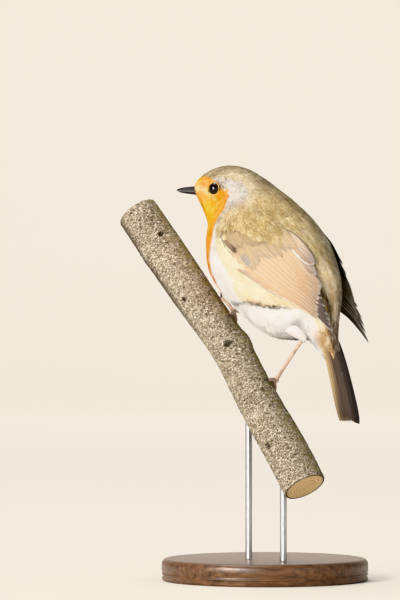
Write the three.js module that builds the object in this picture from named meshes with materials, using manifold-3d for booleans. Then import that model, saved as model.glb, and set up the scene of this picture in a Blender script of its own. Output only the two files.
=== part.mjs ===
// A European robin (Erithacus rubecula), life size, gripping a cut length of branch that a
// plain display stand holds up. Millimetres, +Z up. The origin is the centre of the stand's
// underside. The bird is built facing +X in its own frame, with its left side towards +Y, and
// one group then turns it and lifts it into place.
import * as THREE from "three";
import { mergeVertices } from "three/addons/utils/BufferGeometryUtils.js";
import Module from "manifold-3d";

const wasm = await Module();
wasm.setup();

// ---------- driving dimensions, in millimetres and degrees ----------
const GAP = 0.3; // clearance between neighbouring pieces
const TRUNK_CENTRE = [4.3, 0, 147.7]; // the bird's own origin, above the base's centre
const HEADING = 142; // the way the trunk faces, anticlockwise from +X
const HEAD_TURN = 18; // how far the head looks over the left shoulder
const NECK_PIVOT_X = 12; // the upright line that the head turns about
const BASE_RADIUS = 47;
const BASE_HEIGHT = 10;
const ROD_RADIUS = 1.6;
const PERCH_RADIUS = 9.4;
const EYE_RADIUS = 3.4;
const BELLY_FULLNESS = 0.14; // how much wider the belly's side of the body is than the back's
const VANE_THICKNESS = 0.7; // of one tail feather, as a solid blade

const rad = THREE.MathUtils.degToRad;
const vec = (x, y, z) => new THREE.Vector3(x, y, z);

// ---------- solids and booleans ----------
// A closed geometry as a solid: only positions are kept, and collapsed faces are dropped.
function solid(geometry) {
  const plain = new THREE.BufferGeometry();
  plain.setAttribute("position", geometry.getAttribute("position"));
  if (geometry.index) plain.setIndex(geometry.index);
  const merged = mergeVertices(plain, 1e-4);
  const faces = [];
  for (let i = 0; i < merged.index.count; i += 3) {
    const [a, b, c] = [0, 1, 2].map((k) => merged.index.getX(i + k));
    if (a !== b && b !== c && c !== a) faces.push(a, b, c);
  }
  const build = (triVerts) =>
    new wasm.Manifold(
      new wasm.Mesh({
        numProp: 3,
        vertProperties: merged.attributes.position.array,
        triVerts: new Uint32Array(triVerts),
      }),
    );
  const made = build(faces);
  return made.volume() > 0 ? made : build(faces.reverse());
}

// The largest single body of a solid: slivers that a cut leaves behind are dropped.
function largest(shape) {
  return shape.decompose().sort((a, b) => b.volume() - a.volume())[0];
}

const joined = (shapes) => shapes.reduce((a, b) => a.add(b));
const without = (shape, ...tools) => largest(tools.reduce((a, b) => a.subtract(b), shape));

// A solid as a named three.js mesh with its own material.
function node(name, shape, finish) {
  const data = shape.getMesh();
  const places = new Float32Array(data.numVert * 3);
  for (let i = 0; i < data.numVert; i++) {
    places.set(data.vertProperties.subarray(i * data.numProp, i * data.numProp + 3), i * 3);
  }
  const geometry = new THREE.BufferGeometry();
  geometry.setAttribute("position", new THREE.BufferAttribute(places, 3));
  geometry.setIndex(new THREE.BufferAttribute(data.triVerts, 1));
  geometry.computeVertexNormals();
  const mesh = new THREE.Mesh(geometry, new THREE.MeshStandardMaterial(finish));
  mesh.name = name;
  return mesh;
}

// A closed skin over rings: at(along, angle) gives a point of the side, and each end is a fan.
function lofted(at, around, along) {
  const drum = new THREE.CylinderGeometry(1, 1, 1, around, along, false);
  const places = drum.getAttribute("position");
  for (let i = 0; i < places.count; i++) {
    const [x, y, z] = [places.getX(i), places.getY(i), places.getZ(i)];
    const share = 0.5 - y;
    const centre = vec(0, 0, 0);
    if (Math.hypot(x, z) < 0.5) {
      for (let k = 0; k < around; k++) centre.add(at(share, (2 * Math.PI * k) / around));
      centre.divideScalar(around);
    } else {
      centre.copy(at(share, Math.atan2(x, z)));
    }
    places.setXYZ(i, centre.x, centre.y, centre.z);
  }
  return solid(drum);
}

// ---------- the body: ribs from the bill's root to the tail's root ----------
// Each rib is a flat oval between a point on the back's midline and one on the belly's, both
// [forward, up], with half its width and the share of the head's turn that it takes.
const BODY_RIBS = [
  { back: [40.5, 30.6], belly: [40.4, 30.0], half: 0.4, turn: 1 }, // root of the bill
  { back: [39.9, 33.0], belly: [39.0, 27.6], half: 3.4, turn: 1 }, // lores and chin
  { back: [37.8, 35.7], belly: [37.3, 24.5], half: 6.2, turn: 1 },
  { back: [34.2, 38.3], belly: [35.6, 21.3], half: 8.6, turn: 1 },
  { back: [28.8, 40.5], belly: [34.1, 17.8], half: 10.1, turn: 1 }, // eyes and crown
  { back: [22.0, 41.2], belly: [33.0, 14.2], half: 11.4, turn: 0.92 },
  { back: [14.6, 39.4], belly: [32.5, 10.2], half: 13.4, turn: 0.7 }, // nape and throat
  { back: [7.4, 35.4], belly: [32.9, 6.2], half: 16.4, turn: 0.4 },
  { back: [0.2, 30.6], belly: [32.4, 1.0], half: 19.8, turn: 0.15 }, // foot of the neck
  { back: [-9.6, 24.0], belly: [29.4, -10.6], half: 23.4, turn: 0 },
  { back: [-18.6, 16.6], belly: [21.0, -21.0], half: 24.4, turn: 0 }, // widest
  { back: [-26.0, 8.0], belly: [11.0, -29.4], half: 23.8, turn: 0 },
  { back: [-31.0, -2.4], belly: [0.5, -36.0], half: 21.6, turn: 0 }, // belly
  { back: [-33.8, -11.4], belly: [-10.4, -37.8], half: 17.2, turn: 0 },
  { back: [-34.4, -19.4], belly: [-19.4, -33.6], half: 11.6, turn: 0 }, // vent, behind the legs
  { back: [-34.2, -27.2], belly: [-25.4, -39.8], half: 7.6, turn: 0 },
  { back: [-33.9, -34.8], belly: [-30.2, -46.2], half: 5.2, turn: 0 }, // tail coverts
  { back: [-34.8, -42.4], belly: [-34.8, -49.6], half: 3.4, turn: 0 },
];
const BODY_ENDS = BODY_RIBS.length - 1;
const ribCurve = (pick) => new THREE.CatmullRomCurve3(BODY_RIBS.map(pick), false, "centripetal");
const backLine = ribCurve((rib) => vec(rib.back[0], 0, rib.back[1]));
const bellyLine = ribCurve((rib) => vec(rib.belly[0], 0, rib.belly[1]));
const widthLine = new THREE.CatmullRomCurve3(
  BODY_RIBS.map((rib, i) => vec(i, rib.half, rib.turn)),
  false,
  "catmullrom",
  0.5,
);

// The head's turn, about an upright line through the neck.
function turned(point, share) {
  const angle = rad(HEAD_TURN) * share;
  return point
    .sub(vec(NECK_PIVOT_X, 0, 0))
    .applyAxisAngle(vec(0, 0, 1), angle)
    .add(vec(NECK_PIVOT_X, 0, 0));
}

// A point of the body at a rib number, which may lie between two ribs, and an angle from the
// back's midline, positive to the left. grow moves it outwards.
function bodyPoint(rib, angle, grow = 0) {
  const share = THREE.MathUtils.clamp(rib / BODY_ENDS, 0, 1);
  const back = backLine.getPoint(share);
  const belly = bellyLine.getPoint(share);
  const width = widthLine.getPoint(share);
  const centre = back.clone().add(belly).multiplyScalar(0.5);
  const up = back.clone().sub(belly);
  const reach = up.length() / 2 + grow;
  const point = centre.add(up.normalize().multiplyScalar(reach * Math.cos(angle)));
  point.y = (width.y * (1 - BELLY_FULLNESS * Math.cos(angle)) + grow) * Math.sin(angle);
  return turned(point, width.z);
}

// One length of the body between two rib numbers.
function bodyLength(from, to, around, along, grow = 0) {
  return lofted((s, angle) => bodyPoint(from + (to - from) * s, angle, grow), around, along);
}

const bodyFinish = { roughness: 0.85, metalness: 0 };
const OLIVE = { ...bodyFinish, color: 0x9a8156 };
const ORANGE = { ...bodyFinish, color: 0xe8851c };
const WHITE = { ...bodyFinish, color: 0xe9e4d8 };
const BUFF = { ...bodyFinish, color: 0xa88c58 };
const CUT = 0.008; // half of a parting cut, in ribs
const BODY_AROUND = 24;
const bodyNodes = [
  { name: "head", from: 0, to: 6, along: 8, finish: ORANGE },
  { name: "neck", from: 6, to: 7.9, along: 3, finish: OLIVE },
  { name: "trunk_front", from: 7.9, to: 10, along: 4, finish: OLIVE },
  { name: "trunk_rear", from: 10, to: 12.5, along: 4, finish: WHITE },
  { name: "rump", from: 12.5, to: BODY_ENDS, along: 9, finish: BUFF },
].map((length, i, all) => ({
  ...length,
  shape: bodyLength(
    length.from + (i ? CUT : 0),
    length.to - (i < all.length - 1 ? CUT : 0),
    BODY_AROUND,
    length.along,
  ),
}));
const bodyCore = bodyLength(0, BODY_ENDS, BODY_AROUND, 2 * BODY_ENDS, GAP);

// ---------- bill ----------
const BILL_ROOT = 36.6; // forward, inside the head
const BILL_TIP = [49.4, 30.3];
const GAPE = 29.3; // height of the line between the mandibles, at the root
const BILL_HALF_WIDTH = 2.3;
const UPPER_RISE = 2.75; // from the gape to the culmen, at the root
const LOWER_RISE = 1.8;

// How slender the bill is at a share of its length: the culmen stays full, then curves down.
const billTaper = (s) => Math.pow(1 - s, 0.42) * 0.98 + 0.02;

// One mandible, above the gape for side 1 and below it for side -1.
function mandible(rise, tipX, side) {
  const at = (s, angle) => {
    const width = BILL_HALF_WIDTH * (1 - 0.92 * s);
    const inner = THREE.MathUtils.lerp(GAPE, BILL_TIP[1] - 0.5, s) + side * 0.06;
    const height = rise * billTaper(s) * Math.max(0, Math.cos(angle));
    const x = THREE.MathUtils.lerp(BILL_ROOT, tipX, s);
    return turned(vec(x, width * Math.sin(angle), inner + side * height), 1);
  };
  return lofted(at, 10, 6);
}
const billUpper = mandible(UPPER_RISE, BILL_TIP[0], 1);
const billLower = mandible(LOWER_RISE, BILL_TIP[0] - 0.7, -1);
// The bill's own room in the head, a little larger than the bill.
const billRoom = lofted(
  (s, angle) => {
    const reach = Math.cos(angle) > 0 ? UPPER_RISE : LOWER_RISE;
    const height = (reach + GAP) * Math.cos(angle);
    const width = (BILL_HALF_WIDTH + GAP) * (1 - 0.6 * s);
    const x = BILL_ROOT - GAP + 9 * s;
    return turned(vec(x, width * Math.sin(angle), GAPE + 0.06 + height), 1);
  },
  12,
  1,
);

// ---------- eyes ----------
const EYE_PLACE = [27.4, 7.7, 30.2];
function eyeBall(side, radius) {
  const ball = new THREE.SphereGeometry(radius, 12, 9);
  const at = turned(vec(EYE_PLACE[0], EYE_PLACE[1] * side, EYE_PLACE[2]), 1);
  ball.translate(at.x, at.y, at.z);
  return solid(ball);
}

// ---------- feather blades ----------
// A thin solid vane along a path: at(s) gives its midline and out(s) the way its face looks.
function blade(at, out, halfWidth, steps, thickness = VANE_THICKNESS) {
  const section = (s, angle) => {
    const point = at(s);
    const ahead = at(Math.min(1, s + 0.02)).sub(at(Math.max(0, s - 0.02))).normalize();
    const face = out(s).clone();
    face.addScaledVector(ahead, -face.dot(ahead)).normalize();
    const across = ahead.clone().cross(face);
    const sx = Math.sign(Math.sin(angle)) * halfWidth(s);
    const sy = (Math.sign(Math.cos(angle)) * thickness) / 2;
    return point.addScaledVector(across, sx).addScaledVector(face, sy);
  };
  return lofted((s, angle) => section(s, angle + Math.PI / 4), 4, steps);
}

// Half the width of a flight feather along its length: narrow root, parallel vane, round tip.
const featherWidth = (half) => (s) =>
  half * Math.min(1, 0.45 + 2.2 * s) * Math.sqrt(Math.max(0.05, 1 - Math.pow(s, 7)));

// ---------- tail ----------
const TAIL_ROOT = vec(-28.6, 0, -27);
const TAIL_TIP = vec(-43.3, -1.1, -74.8); // the tail is held a little to the right
const TAIL_FEATHERS = 12;
const TAIL_SPREAD = 6.2; // from the midline to the outermost shaft, at the tip
const TAIL_LAYER = 0.3; // each feather lies this much under its inner neighbour
const TAIL_LAG = 1.4; // how much further the right half reaches than the left
function tailBlades() {
  const down = TAIL_TIP.clone().sub(TAIL_ROOT).normalize();
  const face = vec(down.z, 0, -down.x).normalize(); // the upper side looks back and up
  const blades = [];
  for (let i = 0; i < TAIL_FEATHERS / 2; i++) {
    for (const side of [-1, 1]) {
      const outward = (i + 0.4) / (TAIL_FEATHERS / 2);
      const layer = -TAIL_LAYER * (i + (side > 0 ? 0.5 : 0));
      const root = TAIL_ROOT.clone().addScaledVector(face, layer);
      root.y += side * outward * 2.4;
      const tip = TAIL_TIP.clone().addScaledVector(face, layer);
      tip.addScaledVector(down, 0.8 * outward - TAIL_LAG * (side > 0 ? outward : -0.2));
      tip.y += side * outward * TAIL_SPREAD;
      const bow = (s) => 1.2 * Math.sin(Math.PI * s);
      const at = (s) => root.clone().lerp(tip, s).addScaledVector(face, bow(s));
      blades.push(blade(at, () => face, featherWidth(2.3), 4));
    }
  }
  return joined(blades);
}

// ---------- wings ----------
// A folded wing lies round the body on a sleeve that keeps its girth past the rump. The
// sleeve has ribs like the body's, numbered alike.
const SLEEVE_RIBS = [
  ...BODY_RIBS.slice(0, 13),
  { back: [-35.8, -11.6], belly: [-8.0, -38.0], half: 19.0, turn: 0 },
  { back: [-41.4, -21.0], belly: [-12.0, -39.0], half: 17.8, turn: 0 },
  { back: [-46.4, -31.4], belly: [-15.6, -43.6], half: 16.8, turn: 0 },
  { back: [-50.2, -42.0], belly: [-19.0, -50.0], half: 15.8, turn: 0 },
  { back: [-53.4, -53.0], belly: [-22.0, -58.0], half: 15.0, turn: 0 },
];
const SLEEVE_ENDS = SLEEVE_RIBS.length - 1;
const sleeveCurve = (pick) =>
  new THREE.CatmullRomCurve3(SLEEVE_RIBS.map(pick), false, "centripetal");
const sleeveBack = sleeveCurve((rib) => vec(rib.back[0], 0, rib.back[1]));
const sleeveBelly = sleeveCurve((rib) => vec(rib.belly[0], 0, rib.belly[1]));
const sleeveWidth = new THREE.CatmullRomCurve3(
  SLEEVE_RIBS.map((rib, i) => vec(i, rib.half, 0)),
  false,
  "catmullrom",
  0.5,
);

// A point over the sleeve, on the left for side 1 and on the right for side -1.
function sleevePoint(rib, angle, lift, side) {
  const share = THREE.MathUtils.clamp(rib / SLEEVE_ENDS, 0, 1);
  const back = sleeveBack.getPoint(share);
  const belly = sleeveBelly.getPoint(share);
  const centre = back.clone().add(belly).multiplyScalar(0.5);
  const up = back.clone().sub(belly);
  const reach = up.length() / 2 + lift;
  const point = centre.add(up.normalize().multiplyScalar(reach * Math.cos(angle)));
  const width = sleeveWidth.getPoint(share).y * (1 - BELLY_FULLNESS * Math.cos(angle));
  point.y = side * (width + lift) * Math.sin(angle);
  return point;
}

const WING_DEPTH = 1.4; // of each flight feather's solid, down through the ones below it
const WING_CLEAR = 3; // how far a cutting copy stands above the face
const SLEEVE_REACH = 21; // millimetres round the sleeve for one radian

// One wing feather, from [rib, degrees] at its root to [rib, degrees] at its tip. lift is the
// height of its face over the sleeve, past the root. A cutting copy is larger by the gap all
// round and stands high above the face.
function wingFeather(side, root, tip, half, lift, cutting) {
  const spare = cutting ? GAP : 0;
  const width = featherWidth((half + spare) / SLEEVE_REACH);
  const reach = tip[0] + spare / 6;
  const at = (s, angle) => {
    const rib = THREE.MathUtils.lerp(root[0], reach, s);
    const middle = rad(THREE.MathUtils.lerp(root[1], tip[1], s));
    const across = middle + Math.sign(Math.sin(angle)) * width(s);
    const face = lift * Math.min(1, 0.25 + 1.5 * s);
    const top = cutting ? face + WING_CLEAR : face;
    const height = Math.cos(angle) > 0 ? top : face - WING_DEPTH - spare;
    return sleevePoint(rib, across, height, side);
  };
  return lofted((s, angle) => at(s, angle + Math.PI / 4), 4, 4);
}

// A row of feathers, each over the one before it, between the first and the last of the row.
function wingRow(side, row, cutting = false) {
  const feathers = [];
  for (let i = 0; i < row.count; i++) {
    const s = i / (row.count - 1);
    const between = (a, b) => a.map((v, k) => THREE.MathUtils.lerp(v, b[k], s));
    const root = between(row.roots[0], row.roots[1]);
    const tip = between(row.tips[0], row.tips[1]);
    feathers.push(wingFeather(side, root, tip, row.half, row.lift + row.step * i, cutting));
  }
  return joined(feathers);
}
// Roots and tips are given for the lowest feather of each row and for the uppermost.
const PRIMARIES = {
  count: 7,
  roots: [[10.4, 90], [11.4, 70]],
  tips: [[15.1, 47], [13.4, 45]],
  half: 2.2,
  lift: 0.55,
  step: 0.12,
};
// The right wing droops a little, and its tip reaches further.
const DROOPED = { ...PRIMARIES, roots: [[10.4, 97], [11.4, 74]], tips: [[15.7, 47], [13.5, 48]] };
const SECONDARIES = {
  count: 6,
  roots: [[9.4, 88], [9.6, 62]],
  tips: [[12.7, 74], [13.0, 42]],
  half: 3.6,
  lift: 0.9,
  step: 0.14,
};
const TERTIALS = {
  count: 3,
  roots: [[9.6, 56], [9.6, 44]],
  tips: [[13.1, 38], [12.0, 30]],
  half: 3.9,
  lift: 1.3,
  step: 0.2,
};

// The covered arm of the wing, from its bend to the coverts' edge: a shallow lens on the body.
const ARM = { from: 7.4, to: 11.0, middle: [84, 64], half: 32, lift: 1.8 };
const ARM_DEPTH = 1.5;
function wingArm(side, cutting = false) {
  const spare = cutting ? GAP : 0;
  const at = (s, angle) => {
    const rib = THREE.MathUtils.lerp(ARM.from - spare / 6, ARM.to + spare / 6, s);
    const half = spare + ARM.half * Math.pow(Math.sin(Math.PI * (0.06 + 0.84 * s)), 0.7);
    const across = THREE.MathUtils.lerp(...ARM.middle, s) + half * Math.sin(angle);
    const top = cutting ? ARM.lift + WING_CLEAR : ARM.lift;
    const height = Math.cos(angle) > 0 ? top : -ARM_DEPTH;
    return bodyPoint(rib, side * rad(across), height * Math.sqrt(Math.abs(Math.cos(angle))));
  };
  return lofted(at, 16, 8);
}

// ---------- legs ----------
const bird = new THREE.Group();
bird.position.set(...TRUNK_CENTRE);
bird.rotation.z = rad(HEADING);
bird.updateMatrixWorld(true);
const toBird = (point) => bird.worldToLocal(point.clone());

// The branch's centreline, from its upper cut to its lower one.
const PERCH_LINE = [
  [-58.6, 40.9, 168.0],
  [-46.4, 32.3, 150.0],
  [-30.9, 17.8, 127.3],
  [-15.2, 3.2, 104.5],
  [-3.4, -11.4, 81.8],
  [9.5, -25.9, 59.1],
  [17.3, -34.6, 44.0],
];
const perchCurve = new THREE.CatmullRomCurve3(PERCH_LINE.map((p) => vec(...p)));
const PERCH_KNOTS = [
  { along: 0.52, angle: 10, size: 1.1 },
  { along: 0.14, angle: 140, size: 1.3 },
  { along: 0.78, angle: -70, size: 1.2 },
];

// The branch's own axes at a share of its length: along it, to the right, and towards the viewer.
function perchFrame(share) {
  const centre = perchCurve.getPointAt(THREE.MathUtils.clamp(share, 0, 1));
  const along = perchCurve.getTangentAt(THREE.MathUtils.clamp(share, 0, 1));
  const near = vec(0, -1, 0).addScaledVector(along, along.y).normalize();
  const right = near.clone().cross(along).normalize();
  return { centre, along, near, right };
}
function perchPoint(share, angle, radius) {
  const { centre, near, right } = perchFrame(share);
  return centre
    .addScaledVector(right, radius * Math.cos(angle))
    .addScaledVector(near, radius * Math.sin(angle));
}
// Its girth: a slow swell along it, a slight oval that turns, and the knots.
const SWELL = 0.25;
const OVAL = 0.2;
const KNOT_TURN = 0.5; // half the width of a knot, in radians
const KNOT_ALONG = 0.03; // and along the branch, as a share of its length
function perchRadius(share, angle) {
  let radius = PERCH_RADIUS + SWELL * Math.sin(7 * share + 1) + OVAL * Math.sin(2 * angle + 9 * share);
  for (const knot of PERCH_KNOTS) {
    const off = angle - rad(knot.angle);
    const turn = Math.atan2(Math.sin(off), Math.cos(off)) / KNOT_TURN;
    const away = (share - knot.along) / KNOT_ALONG;
    radius += knot.size * Math.exp(-turn * turn - away * away);
  }
  return radius;
}
const perch = (grow = 0) =>
  lofted((s, angle) => perchPoint(s, angle, perchRadius(s, angle) + grow), 18, 18);

// A round limb through points, with a radius at each end.
function limb(points, radii, around, along) {
  const curve = new THREE.CatmullRomCurve3(points);
  const at = (s, angle) => {
    const ahead = curve.getTangentAt(s);
    const side = vec(0, 0, 1).cross(ahead);
    if (side.length() < 0.1) side.set(1, 0, 0);
    side.addScaledVector(ahead, -side.dot(ahead)).normalize();
    const other = ahead.clone().cross(side);
    const radius = radii(s);
    return curve
      .getPointAt(s)
      .addScaledVector(side, radius * Math.cos(angle))
      .addScaledVector(other, radius * Math.sin(angle));
  };
  return lofted(at, around, along);
}

// Where each leg's joints are, how far down the branch its foot is, and where its inner and
// hind toes go: the far foot lays its inner toe along the near side of the branch.
const LEGS = [
  {
    side: "left",
    ankle: [-22.2, 7.6, -37.4],
    knee: [-8, 12.5, -25],
    thigh: 7.4,
    foot: 0.668,
    inner: { turn: -66, climb: 7.5 },
    hind: { turn: 50, climb: -2.5 },
  },
  {
    side: "right",
    ankle: [2.5, -13.0, -32.5],
    knee: [-3, -12.5, -22],
    thigh: 7.0,
    foot: 0.425,
    inner: { turn: 24, climb: 9 },
    hind: { turn: 46, climb: -4.5 },
  },
];
const GRIP = -2; // degrees from the branch's right side to the ball of the foot
const SHANK_RADIUS = 0.75;
const SHANK_FLARE = 0.45; // how much thicker the shank is at its two ends
const BALL_RADIUS = 1.5; // of the foot, where the toes meet
const BALL_CLEAR = 2.5; // from the bark to the middle of the ball of the foot
const FOOT_CLEAR = 1.25; // and to the middle of a toe
const TOE_ARCH = 0.35; // how far a toe's joints stand off further
const TOE_TAPER = 0.25;
const ANKLE_RADIUS = 1.6; // of the feathered thigh, where the shank comes out
// Each toe: where it ends round the branch, in degrees, and up along it, in millimetres.
const TOES = [
  { name: "inner_toe", radius: 0.85 },
  { name: "middle_toe", turn: -96, climb: 2.0, radius: 0.95 },
  { name: "outer_toe", turn: -74, climb: -4.5, radius: 0.85 },
  { name: "hind_toe", radius: 0.95 },
];
// A toe runs between two shares of its reach, and its claw goes on from the second.
const TOE_FROM = 0.08;
const TOE_TO = 0.8;
const CLAW_FROM = 0.84;
const CLAW_REACH = 0.24; // of a front toe's reach; the hind claw is longer
const HIND_CLAW_REACH = 0.4;
const CLAW_RADIUS = 0.62;
const CLAW_ARCH = 1.1; // how far a claw's middle stands off
const perchLength = perchCurve.getLength();

// The middle line of a toe or a claw, between two shares of the toe's reach round the branch.
function toePath(leg, toe, from, to, clear) {
  const points = [];
  for (let i = 0; i <= 6; i++) {
    const reach = THREE.MathUtils.lerp(from, to, i / 6);
    const share = leg.foot - (toe.climb * reach) / perchLength;
    const angle = rad(GRIP + toe.turn * reach);
    const radius = perchRadius(share, angle) + clear(reach);
    points.push(toBird(perchPoint(share, angle, radius)));
  }
  return points;
}

function sphereAt(place, radius) {
  const ball = new THREE.SphereGeometry(radius, 8, 6);
  ball.translate(place.x, place.y, place.z);
  return solid(ball);
}

// One leg's nodes: feathered thigh, shank with the ball of the foot, four toes, four claws.
function legNodes(leg) {
  const finish = { color: 0xb98a70, roughness: 0.55, metalness: 0 };
  const clawFinish = { color: 0x3a2a22, roughness: 0.4, metalness: 0 };
  const ankle = vec(...leg.ankle);
  const knee = vec(...leg.knee);
  const grip = rad(GRIP);
  const ballOut = perchRadius(leg.foot, grip) + BALL_CLEAR;
  const ballPlace = toBird(perchPoint(leg.foot, grip, ballOut));
  const shankLine = [ankle, ankle.clone().lerp(ballPlace, 0.5), ballPlace];
  const flared = (s) => SHANK_RADIUS * (1 + SHANK_FLARE * Math.pow(Math.abs(2 * s - 1), 6));
  const foot = limb(shankLine, flared, 8, 4).add(sphereAt(ballPlace, BALL_RADIUS));
  const shankRoom = limb(shankLine, () => SHANK_RADIUS * (1 + SHANK_FLARE) + GAP, 10, 4);
  const thighLine = [knee, knee.clone().lerp(ankle, 0.5), knee.clone().lerp(ankle, 1.02)];
  const thighRadius = (s) => THREE.MathUtils.lerp(leg.thigh, ANKLE_RADIUS, Math.pow(s, 0.9));
  const thigh = limb(thighLine, thighRadius, 14, 5);
  const nodes = [
    node("thigh_" + leg.side, without(thigh, bodyCore, shankRoom), WHITE),
    node("shank_" + leg.side, without(foot, bodyCore), finish),
  ];
  const taken = [sphereAt(ballPlace, BALL_RADIUS + GAP)]; // the room of what is already there
  for (const one of TOES) {
    const hind = one.name === "hind_toe";
    const toe = { ...(hind ? leg.hind : leg.inner), ...one };
    const arched = (reach) => FOOT_CLEAR + TOE_ARCH * Math.pow(Math.sin(Math.PI * 1.5 * reach), 2);
    const path = toePath(leg, toe, TOE_FROM, TOE_TO, arched);
    const toeLimb = (grow) => limb(path, (s) => toe.radius * (1 - TOE_TAPER * s) + grow, 6, 6);
    nodes.push(node(toe.name + "_" + leg.side, without(toeLimb(0), ...taken), finish));
    taken.push(toeLimb(GAP));
    const clawTo = CLAW_FROM + (hind ? HIND_CLAW_REACH : CLAW_REACH);
    const span = THREE.MathUtils.clamp;
    const bowed = (reach) =>
      FOOT_CLEAR + CLAW_ARCH * Math.sin(Math.PI * span((reach - CLAW_FROM) / 0.34, 0, 1));
    const clawPath = toePath(leg, toe, CLAW_FROM, clawTo, bowed);
    const claw = limb(clawPath, (s) => CLAW_RADIUS * (1 - 0.6 * s), 6, 4);
    nodes.push(node(toe.name + "_claw_" + leg.side, claw, clawFinish));
  }
  return nodes;
}

// ---------- putting the bird together ----------
const HORN = { color: 0x241f1e, roughness: 0.35, metalness: 0 };
const FLIGHT = { color: 0x6b5540, roughness: 0.7, metalness: 0 };
for (const { name, shape, finish } of bodyNodes) {
  let made = shape;
  if (name === "head") {
    made = without(made, billRoom, eyeBall(1, EYE_RADIUS + GAP), eyeBall(-1, EYE_RADIUS + GAP));
  }
  bird.add(node(name, made, finish));
}
bird.add(node("bill_upper", billUpper, HORN));
bird.add(node("bill_lower", billLower, HORN));
for (const [name, side] of [["left", 1], ["right", -1]]) {
  bird.add(node("eye_" + name, eyeBall(side, EYE_RADIUS), { color: 0x0b0807, roughness: 0.05 }));
}
const tail = tailBlades();
bird.add(node("tail", without(tail, bodyCore), FLIGHT));
// Each row of wing feathers is cut back where the rows over it lie.
for (const [name, side] of [["left", 1], ["right", -1]]) {
  const rows = [
    ["wing_tertials_", TERTIALS],
    ["wing_secondaries_", SECONDARIES],
    ["wing_primaries_", side > 0 ? PRIMARIES : DROOPED],
  ];
  bird.add(node("wing_coverts_" + name, without(wingArm(side), bodyCore), OLIVE));
  const over = [bodyCore, wingArm(side, true)];
  for (const [label, row] of rows) {
    bird.add(node(label + name, without(wingRow(side, row), ...over), FLIGHT));
    over.push(wingRow(side, row, true));
  }
}
for (const leg of LEGS) bird.add(...legNodes(leg));

// ---------- perch and stand ----------
const robin = new THREE.Group();
robin.add(bird);
robin.add(node("perch", perch(), { color: 0x9c9184, roughness: 0.9 }));
const baseProfile = [
  [0, 0],
  [BASE_RADIUS - 1, 0],
  [BASE_RADIUS, 1],
  [BASE_RADIUS, BASE_HEIGHT - 2.5],
  [BASE_RADIUS - 0.7, BASE_HEIGHT - 0.7],
  [BASE_RADIUS - 2.5, BASE_HEIGHT],
  [0, BASE_HEIGHT],
].map(([r, z]) => new THREE.Vector2(r, z));
const baseShape = new THREE.LatheGeometry(baseProfile, 32);
baseShape.rotateX(Math.PI / 2);
robin.add(node("stand_base", solid(baseShape), { color: 0x4a3524, roughness: 0.5 }));

const perchRoom = perch(GAP);
const STEEL = { color: 0x8d8f92, roughness: 0.3, metalness: 1 };
const RODS = [
  { name: "stand_rod_low", under: 0.86 },
  { name: "stand_rod_high", under: 0.64 },
];
for (const rod of RODS) {
  const foot = perchFrame(rod.under).centre;
  const shaft = new THREE.CylinderGeometry(ROD_RADIUS, ROD_RADIUS, foot.z - BASE_HEIGHT - GAP, 16);
  shaft.rotateX(Math.PI / 2);
  shaft.translate(foot.x, foot.y, (foot.z + BASE_HEIGHT + GAP) / 2);
  robin.add(node(rod.name, without(solid(shaft), perchRoom), STEEL));
}

export default robin;
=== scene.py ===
# A European robin, life size, gripping a cut length of branch on a plain turned stand.
import math
import bmesh
import bpy
import numpy as np
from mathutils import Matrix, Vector, noise
from mathutils.kdtree import KDTree


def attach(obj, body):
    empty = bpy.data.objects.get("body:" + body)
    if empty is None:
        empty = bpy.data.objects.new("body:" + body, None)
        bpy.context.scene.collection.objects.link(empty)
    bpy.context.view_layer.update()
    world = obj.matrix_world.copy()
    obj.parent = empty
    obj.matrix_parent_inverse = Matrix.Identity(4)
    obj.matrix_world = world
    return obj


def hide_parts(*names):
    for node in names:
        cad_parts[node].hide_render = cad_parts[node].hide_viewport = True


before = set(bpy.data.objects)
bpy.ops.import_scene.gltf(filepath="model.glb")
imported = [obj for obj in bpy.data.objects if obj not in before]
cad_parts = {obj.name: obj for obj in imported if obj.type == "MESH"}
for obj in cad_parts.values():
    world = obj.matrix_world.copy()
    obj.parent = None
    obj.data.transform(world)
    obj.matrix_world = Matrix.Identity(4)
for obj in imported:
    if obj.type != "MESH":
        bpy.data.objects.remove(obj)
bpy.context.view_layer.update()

# ---------------------------------------------------------------- the turned base
# The stand's foot is a disc of dark oiled beech, turned on a lathe, with a rounded upper edge
# and a shallow bead cut round its side. Everything else stands on it.
MM = 0.001  # every size below is in millimetres until a mesh is made


def tint(red, green, blue):
    """A colour from its 0 to 255 parts, as the linear light that a shader takes."""
    parts = [c / 255 for c in (red, green, blue)]
    return (*[c / 12.92 if c <= 0.04045 else ((c + 0.055) / 1.055) ** 2.4 for c in parts], 1)


def put(tree, kind, wires=None, **settings):
    """A shader node with its settings, and its inputs wired or set by name or number."""
    made = tree.nodes.new("ShaderNode" + kind)
    for name, value in settings.items():
        setattr(made, name, value)
    for key, value in (wires or {}).items():
        if isinstance(value, bpy.types.NodeSocket):
            tree.links.new(value, made.inputs[key])
        else:
            made.inputs[key].default_value = value
    return made


def mixed(tree, share, under, over, way="MIX"):
    """One colour over another by a share."""
    wires = {0: share, 6: under, 7: over}
    return put(tree, "Mix", wires, data_type="RGBA", blend_type=way).outputs[2]


def graded(tree, value, *stops):
    """A colour ramp from (place, colour) stops."""
    made = put(tree, "ValToRGB", {0: value})
    points = made.color_ramp.elements
    while len(points) < len(stops):
        points.new(1)
    for point, (place, colour) in zip(points, stops):
        point.position, point.color = place, colour
    return made.outputs[0]


def mask(tree, value, low, high, start=0.0, end=1.0):
    """A grey that runs from start at one place to end at another."""
    return graded(tree, value, (low, (start, start, start, 1)), (high, (end, end, end, 1)))


def sums(tree, way, first, second=0.0, third=0.0):
    """One step of arithmetic."""
    return put(tree, "Math", {0: first, 1: second, 2: third}, operation=way).outputs[0]


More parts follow.
